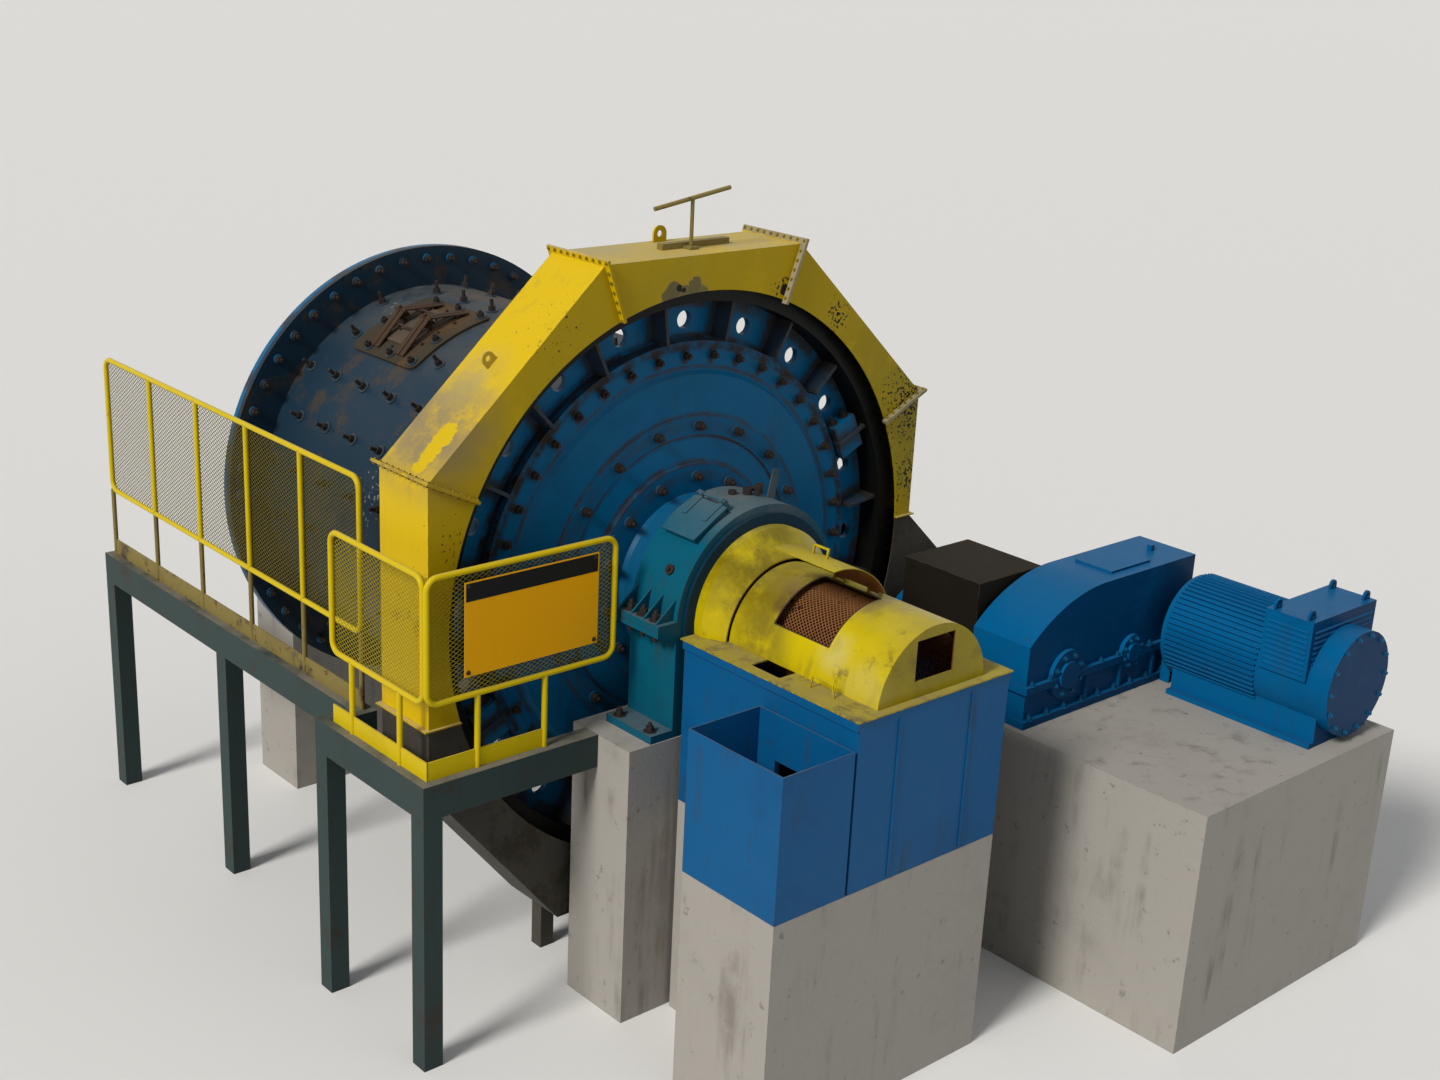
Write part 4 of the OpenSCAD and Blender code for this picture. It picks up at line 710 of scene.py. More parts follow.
def bentPath(corners, bend, closed=False):  # straight runs with round bends between them
    pts = [Vector(c) for c in corners]
    bends = []
    for i, p in enumerate(pts):
        if not closed and i in (0, len(pts) - 1):
            bends.append(p)
            continue
        back = (pts[i - 1] - p).normalized()
        ahead = (pts[(i + 1) % len(pts)] - p).normalized()
        half = back.angle(ahead) / 2
        centre = p + (back + ahead).normalized() * bend / math.sin(half)
        start = p + back * bend / math.tan(half) - centre
        turned = start.rotation_difference(p + ahead * bend / math.tan(half) - centre)
        for k in range(7):
            bends.append(centre + Quaternion(turned.axis, turned.angle * k / 6) @ start)
    return bends


def addTube(bm, path, radius, sides=14, closed=False):  # rings set along the path and bridged
    loops = []
    for i, p in enumerate(path):
        before = path[i - 1] if closed or i else p
        after = path[(i + 1) % len(path)] if closed or i < len(path) - 1 else p
        heading = (p - before).normalized() + (after - p).normalized()
        ring = bmesh.ops.create_circle(bm, radius=radius, segments=sides, matrix=facing(p, heading))["verts"]
        loops.append(list({e for v in ring for e in v.link_edges}))
    for i in range(len(loops) if closed else len(loops) - 1):
        bmesh.ops.bridge_loops(bm, edges=loops[i] + loops[(i + 1) % len(loops)])
    if not closed:
        for end in (loops[0], loops[-1]):
            bmesh.ops.contextual_create(bm, geom=end)


def addBolt(bm, point, direction, across, washer=True, stud=True, tall=0.5):  # sizes are shares of across
    d = Vector(direction).normalized()
    foot = Vector(point)
    roll = random.uniform(0, 1)
    low = 0.0
    if washer:
        addCone(bm, foot + d * across * 0.07, d, across * 0.16, across * 0.95, across * 0.92, 14)
        low = across * 0.14
    h = across * 0.75
    addCone(bm, foot + d * (low + h / 2 - 0.001), d, h, across * 0.577, across * 0.55, 6, roll)
    if stud:
        middle = foot + d * (low + h + across * (tall / 2 - 0.05))
        addCone(bm, middle, d, across * tall, across * 0.3, across * 0.27, 10)


def addWasher(bm, point, direction, radius, thick):
    d = Vector(direction).normalized()
    addCone(bm, Vector(point) + d * (thick / 2 - 0.002), d, thick, radius, radius * 0.97, 18)


# Bolts on the heads: dark nuts on washers that were painted over

headSteps = {"flange": 0.05, "ring": 0.066, "trunnion": 0.117, "back": 0.10}
flangeFace = shellLow[1] - headSteps["flange"]
feedFace = shellHigh[1] + headSteps["flange"]
headWasher = {"radius": 0.74, "thick": 0.013, "lift": 0.008}
headRings = {
    "headFlangeBolts": {"count": 40, "radius": 1.65, "y": flangeFace, "side": -1, "across": 0.056},
    "headRingBolts": {"count": 18, "radius": 1.135, "y": flangeFace - headSteps["ring"], "side": -1,
                      "across": 0.062, "start": 5},
    "trunnionBolts": {"count": 14, "radius": 0.765, "y": flangeFace - headSteps["trunnion"], "side": -1,
                      "across": 0.058, "start": 9},
    "feedHeadBolts": {"count": 48, "radius": 1.79, "y": feedFace, "side": 1, "across": 0.055},
    "feedHeadInnerBolts": {"count": 18, "radius": 1.135, "y": feedFace + headSteps["ring"], "side": 1,
                           "across": 0.060},
    "feedTrunnionBolts": {"count": 14, "radius": 0.765, "y": feedFace + headSteps["trunnion"], "side": 1,
                          "across": 0.060},
    "feedFlangeNuts": {"count": 48, "radius": 1.79, "y": feedFace - headSteps["back"], "side": -1,
                       "across": 0.055},
}
for name, ring in headRings.items():
    bm = bmesh.new()
    washers = bmesh.new()
    d = Vector((0, ring["side"], 0))
    for point in ringPoints(0, ring["y"], axisZ, ring["radius"], ring["count"], ring.get("start", 0)):
        addWasher(washers, point, d, ring["across"] * headWasher["radius"], headWasher["thick"])
        addBolt(bm, point + d * headWasher["lift"], d, ring["across"], washer=False)
    newPiece(name + "Washers", washers, "mill", "head_blue")
    newPiece(name, bm, "mill", "rustyBolt")

# Liner bolts on the shell, left out where the manhole is

shellBolts = {"rows": 24, "start": 4, "firstY": 1.32, "pitch": 0.40, "count": 7, "across": 0.054,
              "tall": 1.1, "washer": 0.050, "thick": 0.014, "sunk": 0.002, "lift": 0.010, "clear": 0.08,
              "cover": (94, 134), "end": 0.16}
bm = bmesh.new()
washers = bmesh.new()
for i in range(shellBolts["rows"]):
    a = i * 360 / shellBolts["rows"] + shellBolts["start"]
    d = outward(a)
    for k in range(shellBolts["count"]):
        y = shellBolts["firstY"] + (k + 0.5 * (i % 2)) * shellBolts["pitch"]
        onCover = (manholeLow[1] - shellBolts["clear"] < y < manholeHigh[1] + shellBolts["clear"]
                   and shellBolts["cover"][0] < a < shellBolts["cover"][1])
        if y < feedFace - shellBolts["end"] and not onCover:
            addWasher(washers, around(shellR - shellBolts["sunk"], a, y), d, shellBolts["washer"],
                      shellBolts["thick"])
            addBolt(bm, around(shellR + shellBolts["lift"], a, y), d, shellBolts["across"], washer=False,
                    tall=shellBolts["tall"])
newPiece("shellLinerBolts", bm, "mill", "rustyBolt")
newPiece("shellLinerWashers", washers, "mill", "shellWasher")

# Manhole: a rolled cover with a door, studs, set screws and two rusty bridge frames

manhole = {"middle": 114, "half": 15, "corner": 0.075, "thick": 0.022, "sunk": 0.004}
door = {"half": 8.6, "halfY": 0.23, "lift": 0.014, "corner": 0.03, "thick": 0.016}
studs = {"across": 0.052, "tall": 0.35, "lift": 0.009, "washer": (0.045, 0.012),
         "shares": (-0.84, -0.15, 0.55), "edge": 2.3, "endShare": 0.2, "endEdge": 0.08}
setScrews = {"across": 0.018, "shares": (-0.7, 0.0, 0.7), "beside": 1.6, "beyond": 0.05}
bridge = {"y": 0.18, "foot": 12.2, "footUp": 0.012, "apex": 0.12, "bar": (0.026, 0.006), "gap": 0.032,
          "pin": (0.015, 0.075), "nut": 0.055, "nutUp": 0.055, "nutTall": 1.0, "post": (0.016, 0.06)}
grips = {"turn": 4, "low": 0.01, "high": 0.075, "half": 0.10, "bend": 0.03, "r": 0.009}
middle = manhole["middle"]
coverR = shellR + manhole["thick"]
midY = (manholeLow[1] + manholeHigh[1]) / 2
halfY = (manholeHigh[1] - manholeLow[1]) / 2


def rolledPlate(half, y0, y1, r, corner, thick):  # flat outline cut in strips and rolled round the shell
    bm = bmesh.new()
    reach = math.radians(half) * r
    bmesh.ops.create_grid(bm, x_segments=1, y_segments=1, size=0.5)
    bmesh.ops.scale(bm, vec=(2 * reach, y1 - y0, 1), verts=bm.verts[:])
    bmesh.ops.bevel(bm, geom=bm.verts[:], offset=corner, segments=6, profile=0.5, affect="VERTICES")
    for k in range(1, 16):
        bmesh.ops.bisect_plane(bm, geom=bm.verts[:] + bm.edges[:] + bm.faces[:],
                               plane_co=(reach * (k / 8 - 1), 0, 0), plane_no=(1, 0, 0))
    for v in bm.verts:
        v.co = around(r, middle - math.degrees(v.co.x / r), (y0 + y1) / 2 + v.co.y)
    bmesh.ops.recalc_face_normals(bm, faces=bm.faces[:])
    if bm.faces[:][0].normal.z < 0:
        bmesh.ops.reverse_faces(bm, faces=bm.faces[:])
    bmesh.ops.solidify(bm, geom=bm.faces[:], thickness=thick)
    return bm


def addStud(bm, washers, a, y):
    addWasher(washers, around(coverR, a, y), outward(a), *studs["washer"])
    addBolt(bm, around(coverR + studs["lift"], a, y), outward(a), studs["across"], washer=False,
            tall=studs["tall"])


def addSetScrew(bm, a, y):
    addBolt(bm, around(coverR, a, y), outward(a), setScrews["across"], stud=False)


bm = rolledPlate(manhole["half"], manholeLow[1], manholeHigh[1], coverR, manhole["corner"],
                 manhole["thick"] + manhole["sunk"])
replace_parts(newPiece("manholePlate", bm, "mill", "rusty_plate"), "manhole_cover")
bm = rolledPlate(door["half"], midY - door["halfY"], midY + door["halfY"], coverR + door["lift"],
                 door["corner"], door["thick"])
newPiece("manholeDoor", bm, "mill", "rustyDoor")

bm = bmesh.new()
washers = bmesh.new()
for side in (-1, 1):
    for t in studs["shares"]:
        addStud(bm, washers, middle + side * (manhole["half"] - studs["edge"]), midY + t * halfY)
    addStud(bm, washers, middle + studs["endShare"] * manhole["half"],
            midY + side * (halfY - studs["endEdge"]))
for side in (-1, 1):  # small set screws round the door
    for t in setScrews["shares"]:
        addSetScrew(bm, middle + side * (door["half"] + setScrews["beside"]), midY + t * door["halfY"])
        addSetScrew(bm, middle + t * door["half"], midY + side * (door["halfY"] + setScrews["beyond"]))
newPiece("manholeStuds", bm, "mill", "rustyBolt")
newPiece("manholeWashers", washers, "mill", "shellWasher")

bm = bmesh.new()
for side in (-1, 1):  # two bridge frames, each of two pairs of flat bars that lean on each other
    y = midY + side * bridge["y"]
    peak = around(coverR + bridge["apex"], middle, y)
    for foot in (-bridge["foot"], bridge["foot"]):
        base = around(coverR + bridge["footUp"], middle + foot, y)
        run = peak - base
        wide, thick = bridge["bar"]
        for shift in (-bridge["gap"], bridge["gap"]):
            bar = facing((base + peak) / 2 + Vector((0, shift, 0)), run)
            addBox(bm, (-wide, -thick, -run.length / 2), (wide, thick, run.length / 2), bar)
    pinR, pinHalf = bridge["pin"]
    addRod(bm, peak - Vector((0, pinHalf, 0)), peak + Vector((0, pinHalf, 0)), pinR, 10)
    addBolt(bm, around(coverR + bridge["nutUp"], middle, y), outward(middle), bridge["nut"],
            tall=bridge["nutTall"])
    postR, postHigh = bridge["post"]
    addRod(bm, around(coverR, middle, y), around(coverR + postHigh, middle, y), postR, 10)
for a in (middle - grips["turn"], middle + grips["turn"]):  # two bent grips on the door
    near, far = midY - grips["half"], midY + grips["half"]
    corners = ((grips["low"], near), (grips["high"], near), (grips["high"], far), (grips["low"], far))
    addTube(bm, bentPath([around(coverR + r, a, y) for r, y in corners], grips["bend"]), grips["r"], 10)
newPiece("manholeBridges", bm, "mill", "rustyFrame", smooth=30)

# Split joint of the girth gear web: bolts through the lugs on both sides of the joint

webJoint = {"angles": (25, 205), "half": 0.1425, "radii": (1.825, 1.945), "y": 0.685, "across": 0.046}
bm = bmesh.new()
for a in webJoint["angles"]:
    for side in (-1, 1):
        sideways = outward(a + 90) * side
        for r in webJoint["radii"]:
            point = around(r, a, webJoint["y"]) + sideways * webJoint["half"]
            addBolt(bm, point, sideways, webJoint["across"])
newPiece("webJointBolts", bm, "mill", "rustyBolt")
print("mill body dressed")


# Gear guard: bolts along the joint flanges, and bare grey strips on the two joints at the right

guard = {"corners": ((-2.32, 1.12), (-0.91, 2.42), (0.91, 2.42), (2.32, 1.12)), "across": 0.015,
         "pitch": 0.072, "side": 0.05, "firstBolt": 2.17, "lastBolt": 0.02, "flange": 0.044, "half": 0.010,
         "stripHalf": 0.0125, "stripStart": 2.13, "stripDeep": 0.047, "skin": 0.001}
bm = bmesh.new()
strips = bmesh.new()
for number, (x, z) in enumerate(guard["corners"]):
    ray = Vector((x, 0, z)).normalized()
    across = Vector((ray.z, 0, -ray.x))
    far = Vector((x, 0, z)).length
    half = guard["half"]
    if number > 1:
        half = guard["stripHalf"]
        spin = Matrix.Translation((0, 0, axisZ)) @ Matrix.Rotation(-math.atan2(z, x), 4, "Y")
        skin = guard["skin"]
        addBox(strips, (guard["stripStart"], guardLow[1] - 2 * skin, -half),
               (far + guard["flange"], guardLow[1] + guard["stripDeep"], half), spin)
        addBox(strips, (far + skin, guardLow[1] - skin, -half + skin / 2),
               (far + guard["flange"] - skin / 2, guardHigh[1] + skin, half - skin / 2), spin)
    for side in (-1, 1):
        d = across * side
        count = int((guardHigh[1] - guardLow[1]) / guard["pitch"])
        for i in range(count + 1):
            y = guardLow[1] + guard["flange"] / 2 + i * (guardHigh[1] - guardLow[1] - guard["flange"]) / count
            point = ray * (far + guard["flange"] / 2) + d * half + Vector((0, y, axisZ))
            addBolt(bm, point, d, guard["across"], stud=False)
        r = guard["firstBolt"]
        while r < far - guard["lastBolt"]:
            for y in (guardLow[1] + guard["side"] / 2, guardHigh[1] - guard["side"] / 2):
                point = ray * r + d * half + Vector((0, y, axisZ))
                addBolt(bm, point, d, guard["across"], stud=False)
            r += guard["pitch"]
newPiece("guardFlangeBolts", bm, "root", "paintedBolt")
newPiece("guardJointStrips", strips, "root", "paleFlange", smooth=0)

# Bearing caps: bolts on the split flanges and feet, and small fittings on the discharge cap

capBolts = {"x": 0.852, "count": 3, "first": -0.2025, "span": 0.405, "top": (0.045, 0.055),
            "under": (-0.0535, 0.050), "foot": (0.90, 0.17, -0.77, 0.05)}
feedCapLow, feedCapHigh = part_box("feed_bearing_cap")
bearings = {"discharge": 0.0, "feed": (feedCapLow[1] + feedCapHigh[1]) / 2}
for name, bearingY in bearings.items():
    bm = bmesh.new()
    for side in (-1, 1):
        for k in range(capBolts["count"]):
            y = bearingY + capBolts["first"] + (k + 0.5) * capBolts["span"] / capBolts["count"]
            for (z, across), d in ((capBolts["top"], zUp), (capBolts["under"], -zUp)):
                addBolt(bm, (side * capBolts["x"], y, axisZ + z), d, across)
        footX, footY, footZ, across = capBolts["foot"]
        for y in (bearingY - footY, bearingY + footY):
            addBolt(bm, (side * footX, y, axisZ + footZ), zUp, across)
    newPiece(name + "CapBolts", bm, "root", "rustyBolt")

housing = {"r": 0.76, "plug": (152, -0.06), "crest": (83, 0.02)}  # radius, then angle and place along Y
plugAt = around(housing["r"], *housing["plug"])
plugOut = outward(housing["plug"][0])
crestAt = around(housing["r"], *housing["crest"])
fittings = [  # a plug on the flank, then nipples and a short pipe on the crest: from, to, radius and sides
    (plugAt - plugOut * 0.01, plugAt + plugOut * 0.018, 0.038, 24),
    (plugAt, plugAt + plugOut * 0.04, 0.016, 12),
    (crestAt - zUp * 0.02, crestAt + zUp * 0.05, 0.035, 20),
    (crestAt + zUp * 0.03, crestAt + Vector((0.16, 0.02, 0.03)), 0.018, 12),
    (crestAt + Vector((0.05, -0.05, 0.0)), crestAt + Vector((0.05, -0.05, 0.07)), 0.022, 12),
    (crestAt + Vector((0.12, 0.0, -0.01)), crestAt + Vector((0.12, 0.0, 0.06)), 0.03, 6),
    (crestAt + Vector((-0.10, 0.05, -0.01)), crestAt + Vector((-0.10, 0.05, 0.035)), 0.03, 16),
]
bm = bmesh.new()
for fitting in fittings:
    addRod(bm, *fitting)
newPiece("capFittings", bm, "root", "rustyBolt")

slat = {"x": 0.42, "y": 0.13, "up": 0.60, "tilt": 12, "half": 0.035, "thick": 0.005, "high": 0.26,
        "foot": (0.06, 0.01)}
bm = bmesh.new()
tilt = Matrix.Rotation(math.radians(slat["tilt"]), 4, "Y")
lean = Matrix.Translation((slat["x"], slat["y"], axisZ + slat["up"])) @ tilt
addBox(bm, (-slat["half"], -slat["thick"], 0.0), (slat["half"], slat["thick"], slat["high"]), lean)
addBox(bm, (-slat["half"], -slat["foot"][0], 0.0), (slat["half"], slat["thick"], slat["foot"][1]), lean)
newPiece("capSlat", bm, "root", "bearing_blue", smooth=0)
print("guard and bearings dressed")


# Trommel screen: a perforated cylinder, its wall cut into diamond holes, and a ring at each end

def diamonds(bm):  # turns a grid of squares into a grid of diamonds
    inner = [e for e in bm.edges if len(e.link_faces) == 2]
    bmesh.ops.poke(bm, faces=bm.faces[:])
    bmesh.ops.dissolve_edges(bm, edges=[e for e in inner if e.is_valid], use_verts=False)


def openCells(bm, web, thick):  # leaves the strands round each cell and gives them thickness
    strands = set(bmesh.ops.inset_individual(bm, faces=bm.faces[:], thickness=web)["faces"])
    bmesh.ops.delete(bm, geom=[f for f in bm.faces if f not in strands], context="FACES")
    bmesh.ops.solidify(bm, geom=bm.faces[:], thickness=thick)


def addWall(bm, y0, y1, r, sides):  # an open cylinder round the mill axis
    addCone(bm, (0, (y0 + y1) / 2, axisZ), (0, 1, 0), y1 - y0, r, r, sides, caps=False)


screen = {"r": 0.365, "t": 0.007, "along": 46, "around": 70, "web": 0.0046, "front": 0.03, "back": 0.025,
          "frontRing": (0.38, 0.352), "backRing": (0.505, 0.353), "ringSides": 76}
screenLow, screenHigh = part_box("trommel_screen")
sheetFront = screenLow[1] + screen["front"]
sheetBack = screenHigh[1] - screen["back"]
bm = bmesh.new()
addWall(bm, sheetFront, sheetBack, screen["r"], screen["around"])
along = [e for e in bm.edges if abs(e.verts[0].co.y - e.verts[1].co.y) > 0.1]
bmesh.ops.subdivide_edges(bm, edges=along, cuts=screen["along"] - 1)
diamonds(bm)
openCells(bm, screen["web"], screen["t"])
screenRings = ((screenLow[1], sheetFront, screen["frontRing"]),
               (sheetBack, screenHigh[1], screen["backRing"]))
for y0, y1, walls in screenRings:
    for wallR in walls:
        addWall(bm, y0, y1, wallR, screen["ringSides"])
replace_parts(newPiece("trommelScreen", bm, "mill", "rusty_screen", smooth=0), "trommel_screen")
print("trommel screen perforated")


# Mesh guards: expanded metal cut from a sheet of diamonds

mesh = {"pitch": (0.049, 0.032), "web": 0.003, "thick": 0.003, "sideIn": 0.001, "frontIn": 0.003,
        "clear": 0.006}


def expandedSheet(name, node, plane, at, low, high, finish):  # plane "Y" runs along Y, plane "X" along X
    width, height = high[0] - low[0], high[1] - low[1]
    columns, rows = int(width / mesh["pitch"][0]), int(height / mesh["pitch"][1])
    bm = bmesh.new()
    bmesh.ops.create_grid(bm, x_segments=columns, y_segments=rows, size=0.5)
    diamonds(bm)
    for v in bm.verts:
        v.co = Vector((low[0] + (v.co.x + 0.5) * width, low[1] + (v.co.y + 0.5) * height, 0))
    openCells(bm, mesh["web"], mesh["thick"])
    if plane == "Y":
        turned = Matrix(((0, 0, 1, at), (1, 0, 0, 0), (0, 1, 0, 0), (0, 0, 0, 1)))
    else:
        turned = Matrix(((1, 0, 0, 0), (0, 0, -1, at), (0, 1, 0, 0), (0, 0, 0, 1)))
    bmesh.ops.transform(bm, matrix=turned, verts=bm.verts[:])
    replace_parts(newPiece(name, bm, "root", finish, smooth=0), node)


sideLow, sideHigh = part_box("side_guard_mesh")
cornerLow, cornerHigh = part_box("corner_guard_mesh")
expandedSheet("sideGuardMesh", "side_guard_mesh", "Y", sideLow[0] + mesh["sideIn"],
              sideLow[1:], sideHigh[1:], "meshDull")
expandedSheet("cornerGuardFrontMesh", "corner_guard_mesh", "X", cornerLow[1] + mesh["frontIn"],
              (cornerLow[0], cornerLow[2]), (cornerHigh[0], cornerHigh[2]), "mesh_yellow")
expandedSheet("cornerGuardSideMesh", "corner_guard_mesh", "Y", cornerLow[0] + mesh["sideIn"],
              (cornerLow[1] + mesh["clear"], cornerLow[2]), cornerHigh[1:], "mesh_yellow")
print("guard meshes cut")

# Tube frames of the two guards, bent from round tube with soft corners, on posts with a kick plate

tube = {"r": 0.021, "bend": 0.085, "beside": 1.9, "post": 0.019, "kick": 0.135, "kickHalf": 0.006, "bays": 5,
        "frontPosts": (0.26, 0.62), "sidePosts": (0.25, 0.78)}


def addFrame(bm, corners):
    addTube(bm, bentPath(corners, tube["bend"], True), tube["r"], closed=True)


cfLow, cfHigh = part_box("corner_guard_frame")
walk, low, top = cfLow[2], cornerLow[2], cfHigh[2] - tube["r"]
left, right = cfLow[0] + tube["r"], cfHigh[0] - tube["r"]
front, rear = cfLow[1] + tube["r"], cfHigh[1] - tube["r"]
beside = front + tube["beside"] * tube["r"]
kickHalf = tube["kickHalf"]
bm = bmesh.new()
addFrame(bm, [(left, front, low), (right, front, low), (right, front, top), (left, front, top)])
addFrame(bm, [(left, beside, low), (left, rear, low), (left, rear, top), (left, beside, top)])
posts = [(left + share * (right - left), front) for share in tube["frontPosts"]]
posts += [(left, beside + share * (rear - beside)) for share in tube["sidePosts"]]
for x, y in posts:
    addRod(bm, (x, y, walk), (x, y, low), tube["r"], 14)
kickEnd = posts[len(tube["frontPosts"]) - 1][0] + tube["r"]
addBox(bm, (left, front - kickHalf, walk), (kickEnd, front + kickHalf, walk + tube["kick"]))
addBox(bm, (left - kickHalf, front - kickHalf, walk), (left + kickHalf, rear, walk + tube["kick"]))
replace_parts(newPiece("cornerGuardTubes", bm, "root", "rail_yellow"), "corner_guard_frame")

sfLow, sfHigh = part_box("side_guard_frame")
x = (sfLow[0] + sfHigh[0]) / 2
near, far = sfLow[1] + tube["r"], sfHigh[1] - tube["r"]
walk, low, top = sfLow[2], sideLow[2], sfHigh[2] - tube["r"]
postYs = [near + i * (far - near) / tube["bays"] for i in range(tube["bays"] + 1)]
bm = bmesh.new()
addFrame(bm, [(x, near, low), (x, far, low), (x, far, top), (x, near, top)])
for y in postYs[1:-1]:
    addRod(bm, (x, y, low), (x, y, top), tube["r"], 14)
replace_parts(newPiece("sideGuardTubes", bm, "root", "rail_yellow"), "side_guard_frame")
bm = bmesh.new()
for y in postYs:
    addRod(bm, (x, y, walk), (x, y, low), tube["post"], 12)
addBox(bm, (x - kickHalf, near, walk), (x + kickHalf, far, walk + tube["kick"]))
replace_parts(newPiece("sideGuardPosts", bm, "root", "dull_steel"), "side_guard_frame")
print("tube frames bent")

# Bare plate on the corner guard: dark header band and four screws

notice = {"band": 0.205, "edge": 0.01, "proud": 0.0015, "screwAt": 0.03, "screw": 0.018}
noticeLow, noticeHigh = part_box("notice_plate")
face = noticeLow[1]
bandFoot = noticeHigh[2] - notice["band"] * (noticeHigh[2] - noticeLow[2])
bm = bmesh.new()
addBox(bm, (noticeLow[0] + notice["edge"], face - notice["proud"], bandFoot),
       (noticeHigh[0] - notice["edge"], face, noticeHigh[2] - notice["edge"]))
newPiece("noticeBand", bm, "root", "darkBand", smooth=0)
bm = bmesh.new()
for x in (noticeLow[0] + notice["screwAt"], noticeHigh[0] - notice["screwAt"]):
    for z in (noticeLow[2] + notice["screwAt"], noticeHigh[2] - notice["screwAt"]):
        addBolt(bm, (x, face, z), (0, -1, 0), notice["screw"], stud=False)
newPiece("noticeScrews", bm, "root", "rustyBolt")
print("guards beside the mill dressed")


# Gearbox: bolts on the split and foot flanges, bearing covers, a top cover and ribs

flangeBolts = {"split": 0.03, "splitUp": 0.02, "foot": 0.035, "footUp": 0.06, "pitch": 0.21, "start": 0.08,
               "end": 0.05, "lip": 0.02}
splitZ = (pinionLow[2] + pinionHigh[2]) / 2 + flangeBolts["splitUp"]
bm = bmesh.new()
for y in (gearboxLow[1] + flangeBolts["lip"], gearboxHigh[1] - flangeBolts["lip"]):
    x = gearboxLow[0] + flangeBolts["start"]
    while x < gearboxHigh[0] - flangeBolts["end"]:
        addBolt(bm, (x, y, splitZ), zUp, flangeBolts["split"])
        addBolt(bm, (x, y, gearboxLow[2] + flangeBolts["footUp"]), zUp, flangeBolts["foot"])
        x += flangeBolts["pitch"]
newPiece("gearboxBolts", bm, "root", "blueBolt")

bearingCovers = {"radii": (0.20, 0.14), "share": 0.62, "proud": 0.035, "hub": 0.55, "hubProud": 0.06,
                 "bolts": 8, "ring": 0.78, "across": 0.026, "clear": 0.03, "face": 0.04, "sunk": 0.002}
frontFace = gearboxLow[1] + bearingCovers["face"]
shaftXs = ((pinionLow[0] + pinionHigh[0]) / 2,
           gearboxLow[0] + bearingCovers["share"] * (gearboxHigh[0] - gearboxLow[0]))
bm = bmesh.new()
coverBolts = bmesh.new()
for x, r in zip(shaftXs, bearingCovers["radii"]):
    x = max(x, gearboxLow[0] + bearingCovers["clear"] + r)
    for radius, proud in ((r, bearingCovers["proud"]), (r * bearingCovers["hub"], bearingCovers["hubProud"])):
        addRod(bm, (x, frontFace + bearingCovers["sunk"], splitZ), (x, frontFace - proud, splitZ), radius, 36)
    for point in ringPoints(x, frontFace - bearingCovers["proud"], splitZ, r * bearingCovers["ring"],
                            bearingCovers["bolts"], 180 / bearingCovers["bolts"]):
        addBolt(coverBolts, point, (0, -1, 0), bearingCovers["across"], stud=False)
newPiece("gearboxCovers", bm, "root", "drive_blue")
newPiece("gearboxCoverBolts", coverBolts, "root", "blueBolt")

topCover = {"x": (2.95, 3.45), "inset": 0.14, "thick": 0.018, "eyeX": 3.7, "eyeTall": 0.05, "eyeR": 0.03}
ribs = {"x": (2.62, 3.05, 3.48), "half": 0.012, "deep": 0.03, "out": 0.04, "clear": 0.05}
bm = bmesh.new()
gearboxTop = gearboxHigh[2]
addBox(bm, (topCover["x"][0], gearboxLow[1] + topCover["inset"], gearboxTop),
       (topCover["x"][1], gearboxHigh[1] - topCover["inset"], gearboxTop + topCover["thick"]))
eyeAt = Vector((topCover["eyeX"], (gearboxLow[1] + gearboxHigh[1]) / 2, gearboxTop))
addRod(bm, eyeAt, eyeAt + zUp * topCover["eyeTall"], topCover["eyeR"], 16)
for x in ribs["x"]:
    for y in (gearboxLow[1] + ribs["out"] - ribs["deep"], gearboxHigh[1] - ribs["out"]):
        addBox(bm, (x - ribs["half"], y, gearboxLow[2] + ribs["clear"]),
               (x + ribs["half"], y + ribs["deep"], splitZ - ribs["clear"]))
newPiece("gearboxRibs", bm, "root", "drive_blue", smooth=0)

# Motor: fins along its barrel, louvres on the cooler and bolts on the end shield

motor = {"r": 0.42, "drop": 0.61, "fins": 44, "firstFin": -35, "finSpan": 250, "finHigh": 0.022,
         "finHalf": 0.004, "finRoot": 0.004, "finEnds": (0.03, 0.16), "endBolts": 14, "endR": 0.385,
         "across": 0.026}
motorX = (coolerLow[0] + coolerHigh[0]) / 2
motorZ = axisZ - motor["drop"]
bm = bmesh.new()
for i in range(motor["fins"]):
    a = math.radians(motor["firstFin"] + i * motor["finSpan"] / (motor["fins"] - 1))
    spin = Matrix.Translation((motorX, 0, motorZ)) @ Matrix.Rotation(-a, 4, "Y")
    addBox(bm, (motor["r"] - motor["finRoot"], coolerHigh[1] + motor["finEnds"][0], -motor["finHalf"]),
           (motor["r"] + motor["finHigh"], motorHigh[1] - motor["finEnds"][1], motor["finHalf"]), spin)
newPiece("motorFins", bm, "root", "drive_blue", smooth=0)

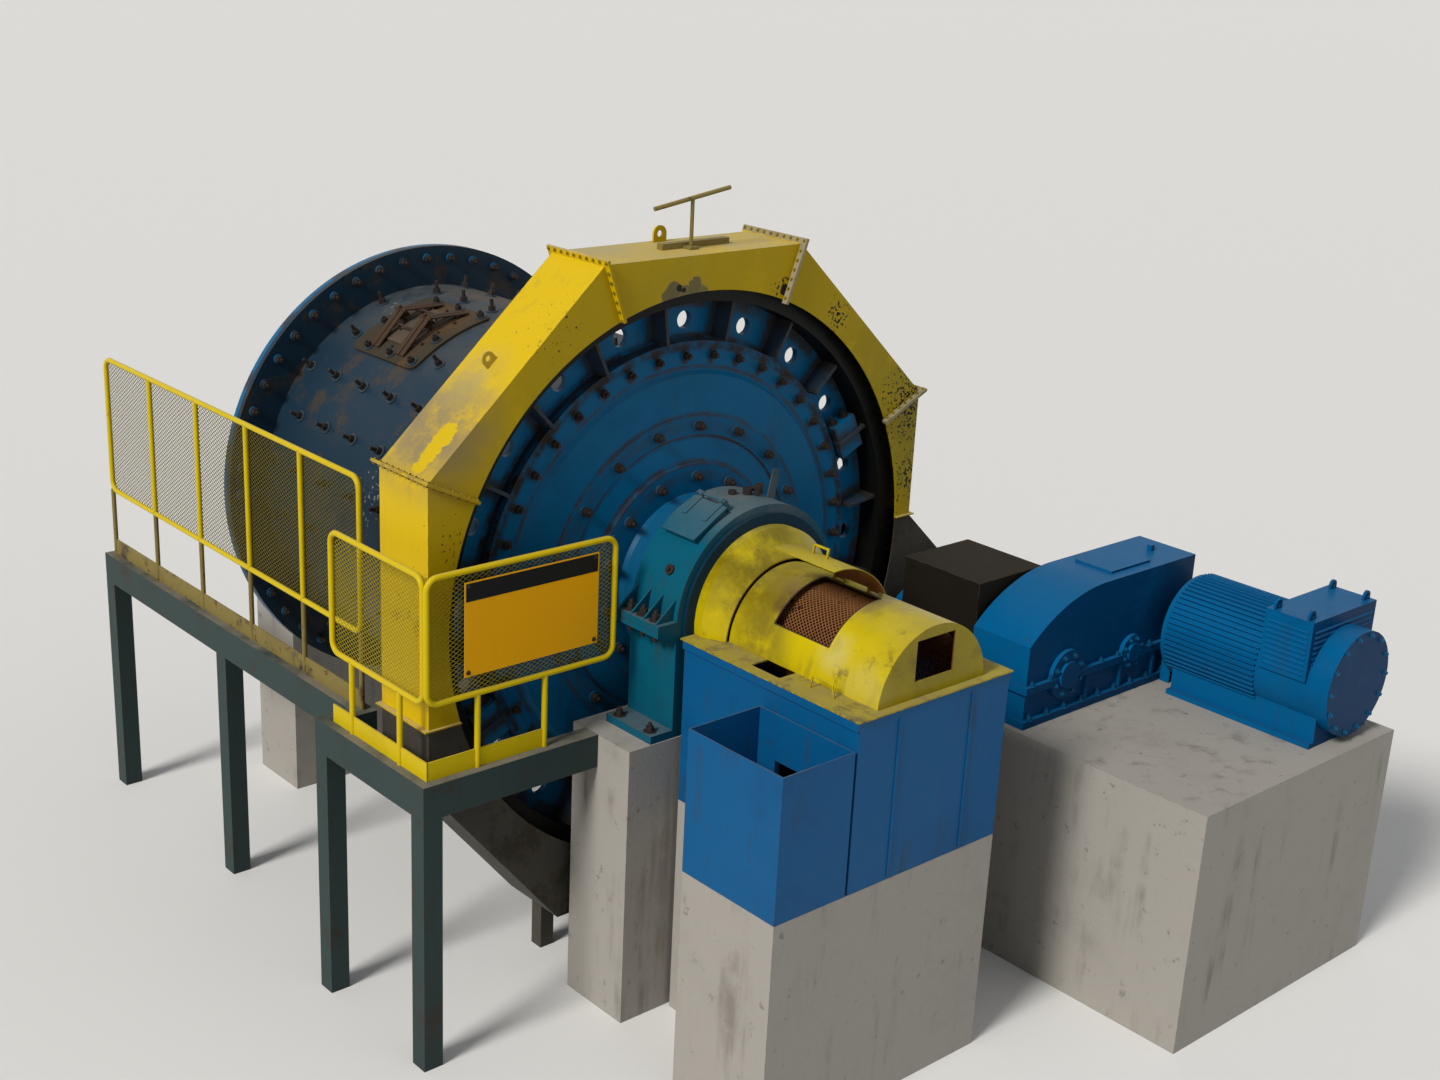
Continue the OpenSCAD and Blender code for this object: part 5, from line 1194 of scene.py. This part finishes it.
louvres = {"count": 9, "first": 0.06, "pitch": 0.042, "tilt": 50, "half": 0.014, "thick": 0.002,
           "endGaps": (0.04, 0.03)}
coolerY = (coolerLow[1] + coolerHigh[1]) / 2
alongX = (coolerHigh[0] - coolerLow[0]) / 2 - louvres["endGaps"][0]
alongY = (coolerHigh[1] - coolerLow[1]) / 2 - louvres["endGaps"][1]
bm = bmesh.new()
for x, y, axis, side, wide, deep in ((coolerLow[0], coolerY, "Y", -1, louvres["half"], alongY),
                                     (coolerHigh[0], coolerY, "Y", 1, louvres["half"], alongY),
                                     (motorX, coolerLow[1], "X", 1, alongX, louvres["half"])):
    for i in range(louvres["count"]):
        z = coolerLow[2] + louvres["first"] + i * louvres["pitch"]
        tilt = Matrix.Translation((x, y, z)) @ Matrix.Rotation(side * math.radians(louvres["tilt"]), 4, axis)
        addBox(bm, (-wide, -deep, -louvres["thick"]), (wide, deep, louvres["thick"]), tilt)
newPiece("coolerLouvres", bm, "root", "drive_blue", smooth=0)

bm = bmesh.new()
for point in ringPoints(motorX, motorLow[1], motorZ, motor["endR"], motor["endBolts"]):
    addBolt(bm, point, (0, -1, 0), motor["across"], stud=False)
newPiece("motorEndBolts", bm, "root", "blueBolt")
print("drive dressed")


# Discharge end: rim of the hood's window, wire handles on the deck, ribs and rails on the box

def hoodPoint(degrees, y):
    return around(window["r"], degrees, y) - zUp * window["drop"]


def wireHandle(bm, a, b, height):
    a, b, lift = Vector(a), Vector(b), zUp * height
    inA = a + (b - a) * handles["lean"] + lift
    inB = b + (a - b) * handles["lean"] + lift
    for start, end in ((a, inA), (inA, inB), (inB, b)):
        addRod(bm, start, end, handles["r"], 8)
    for p in (inA, inB):
        bmesh.ops.create_uvsphere(bm, u_segments=8, v_segments=6, radius=handles["r"],
                                  matrix=Matrix.Translation(p))


window = {"r": 0.509, "drop": 0.10, "y": (-0.88, -1.404), "angles": (86, 148), "edge": 0.006, "steps": 20}
bm = bmesh.new()
firstAngle, lastAngle = window["angles"]
arc = [firstAngle + k * (lastAngle - firstAngle) / window["steps"] for k in range(window["steps"] + 1)]
for y in window["y"]:
    addTube(bm, [hoodPoint(a, y) for a in arc], window["edge"], 8)
for a in window["angles"]:
    addTube(bm, [hoodPoint(a, y) for y in window["y"]], window["edge"], 8)
newPiece("windowRim", bm, "root", "rustyFrame")

handles = {"r": 0.006, "lean": 0.08, "near": (-0.60, -1.64, -1.42, 0.085), "far": (0.60, -0.95, -0.78, 0.08)}
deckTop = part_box("discharge_deck")[1][2]
bm = bmesh.new()
for x, y0, y1, height in (handles["near"], handles["far"]):
    wireHandle(bm, (x, y0, deckTop), (x, y1, deckTop), height)
newPiece("deckHandles", bm, "root", "hood_yellow")

stiffeners = {"rail": (0.02, 0.06), "below": 0.001, "ribX": (-0.35, 0.35), "ribHalf": 0.006, "ribOut": 0.012,
              "clear": 0.02}
railOut, railTall = stiffeners["rail"]
bm = bmesh.new()
for x in (boxLow[0] - railOut, boxHigh[0]):
    addBox(bm, (x, boxLow[1], boxHigh[2] - railTall),
           (x + railOut, boxHigh[1], boxHigh[2] - stiffeners["below"]))
for x in stiffeners["ribX"]:
    addBox(bm, (x - stiffeners["ribHalf"], boxLow[1] - stiffeners["ribOut"], boxLow[2] + stiffeners["clear"]),
           (x + stiffeners["ribHalf"], boxLow[1], boxHigh[2] - railTall))
newPiece("boxStiffeners", bm, "root", "tank_blue", smooth=0)
print("discharge end dressed")
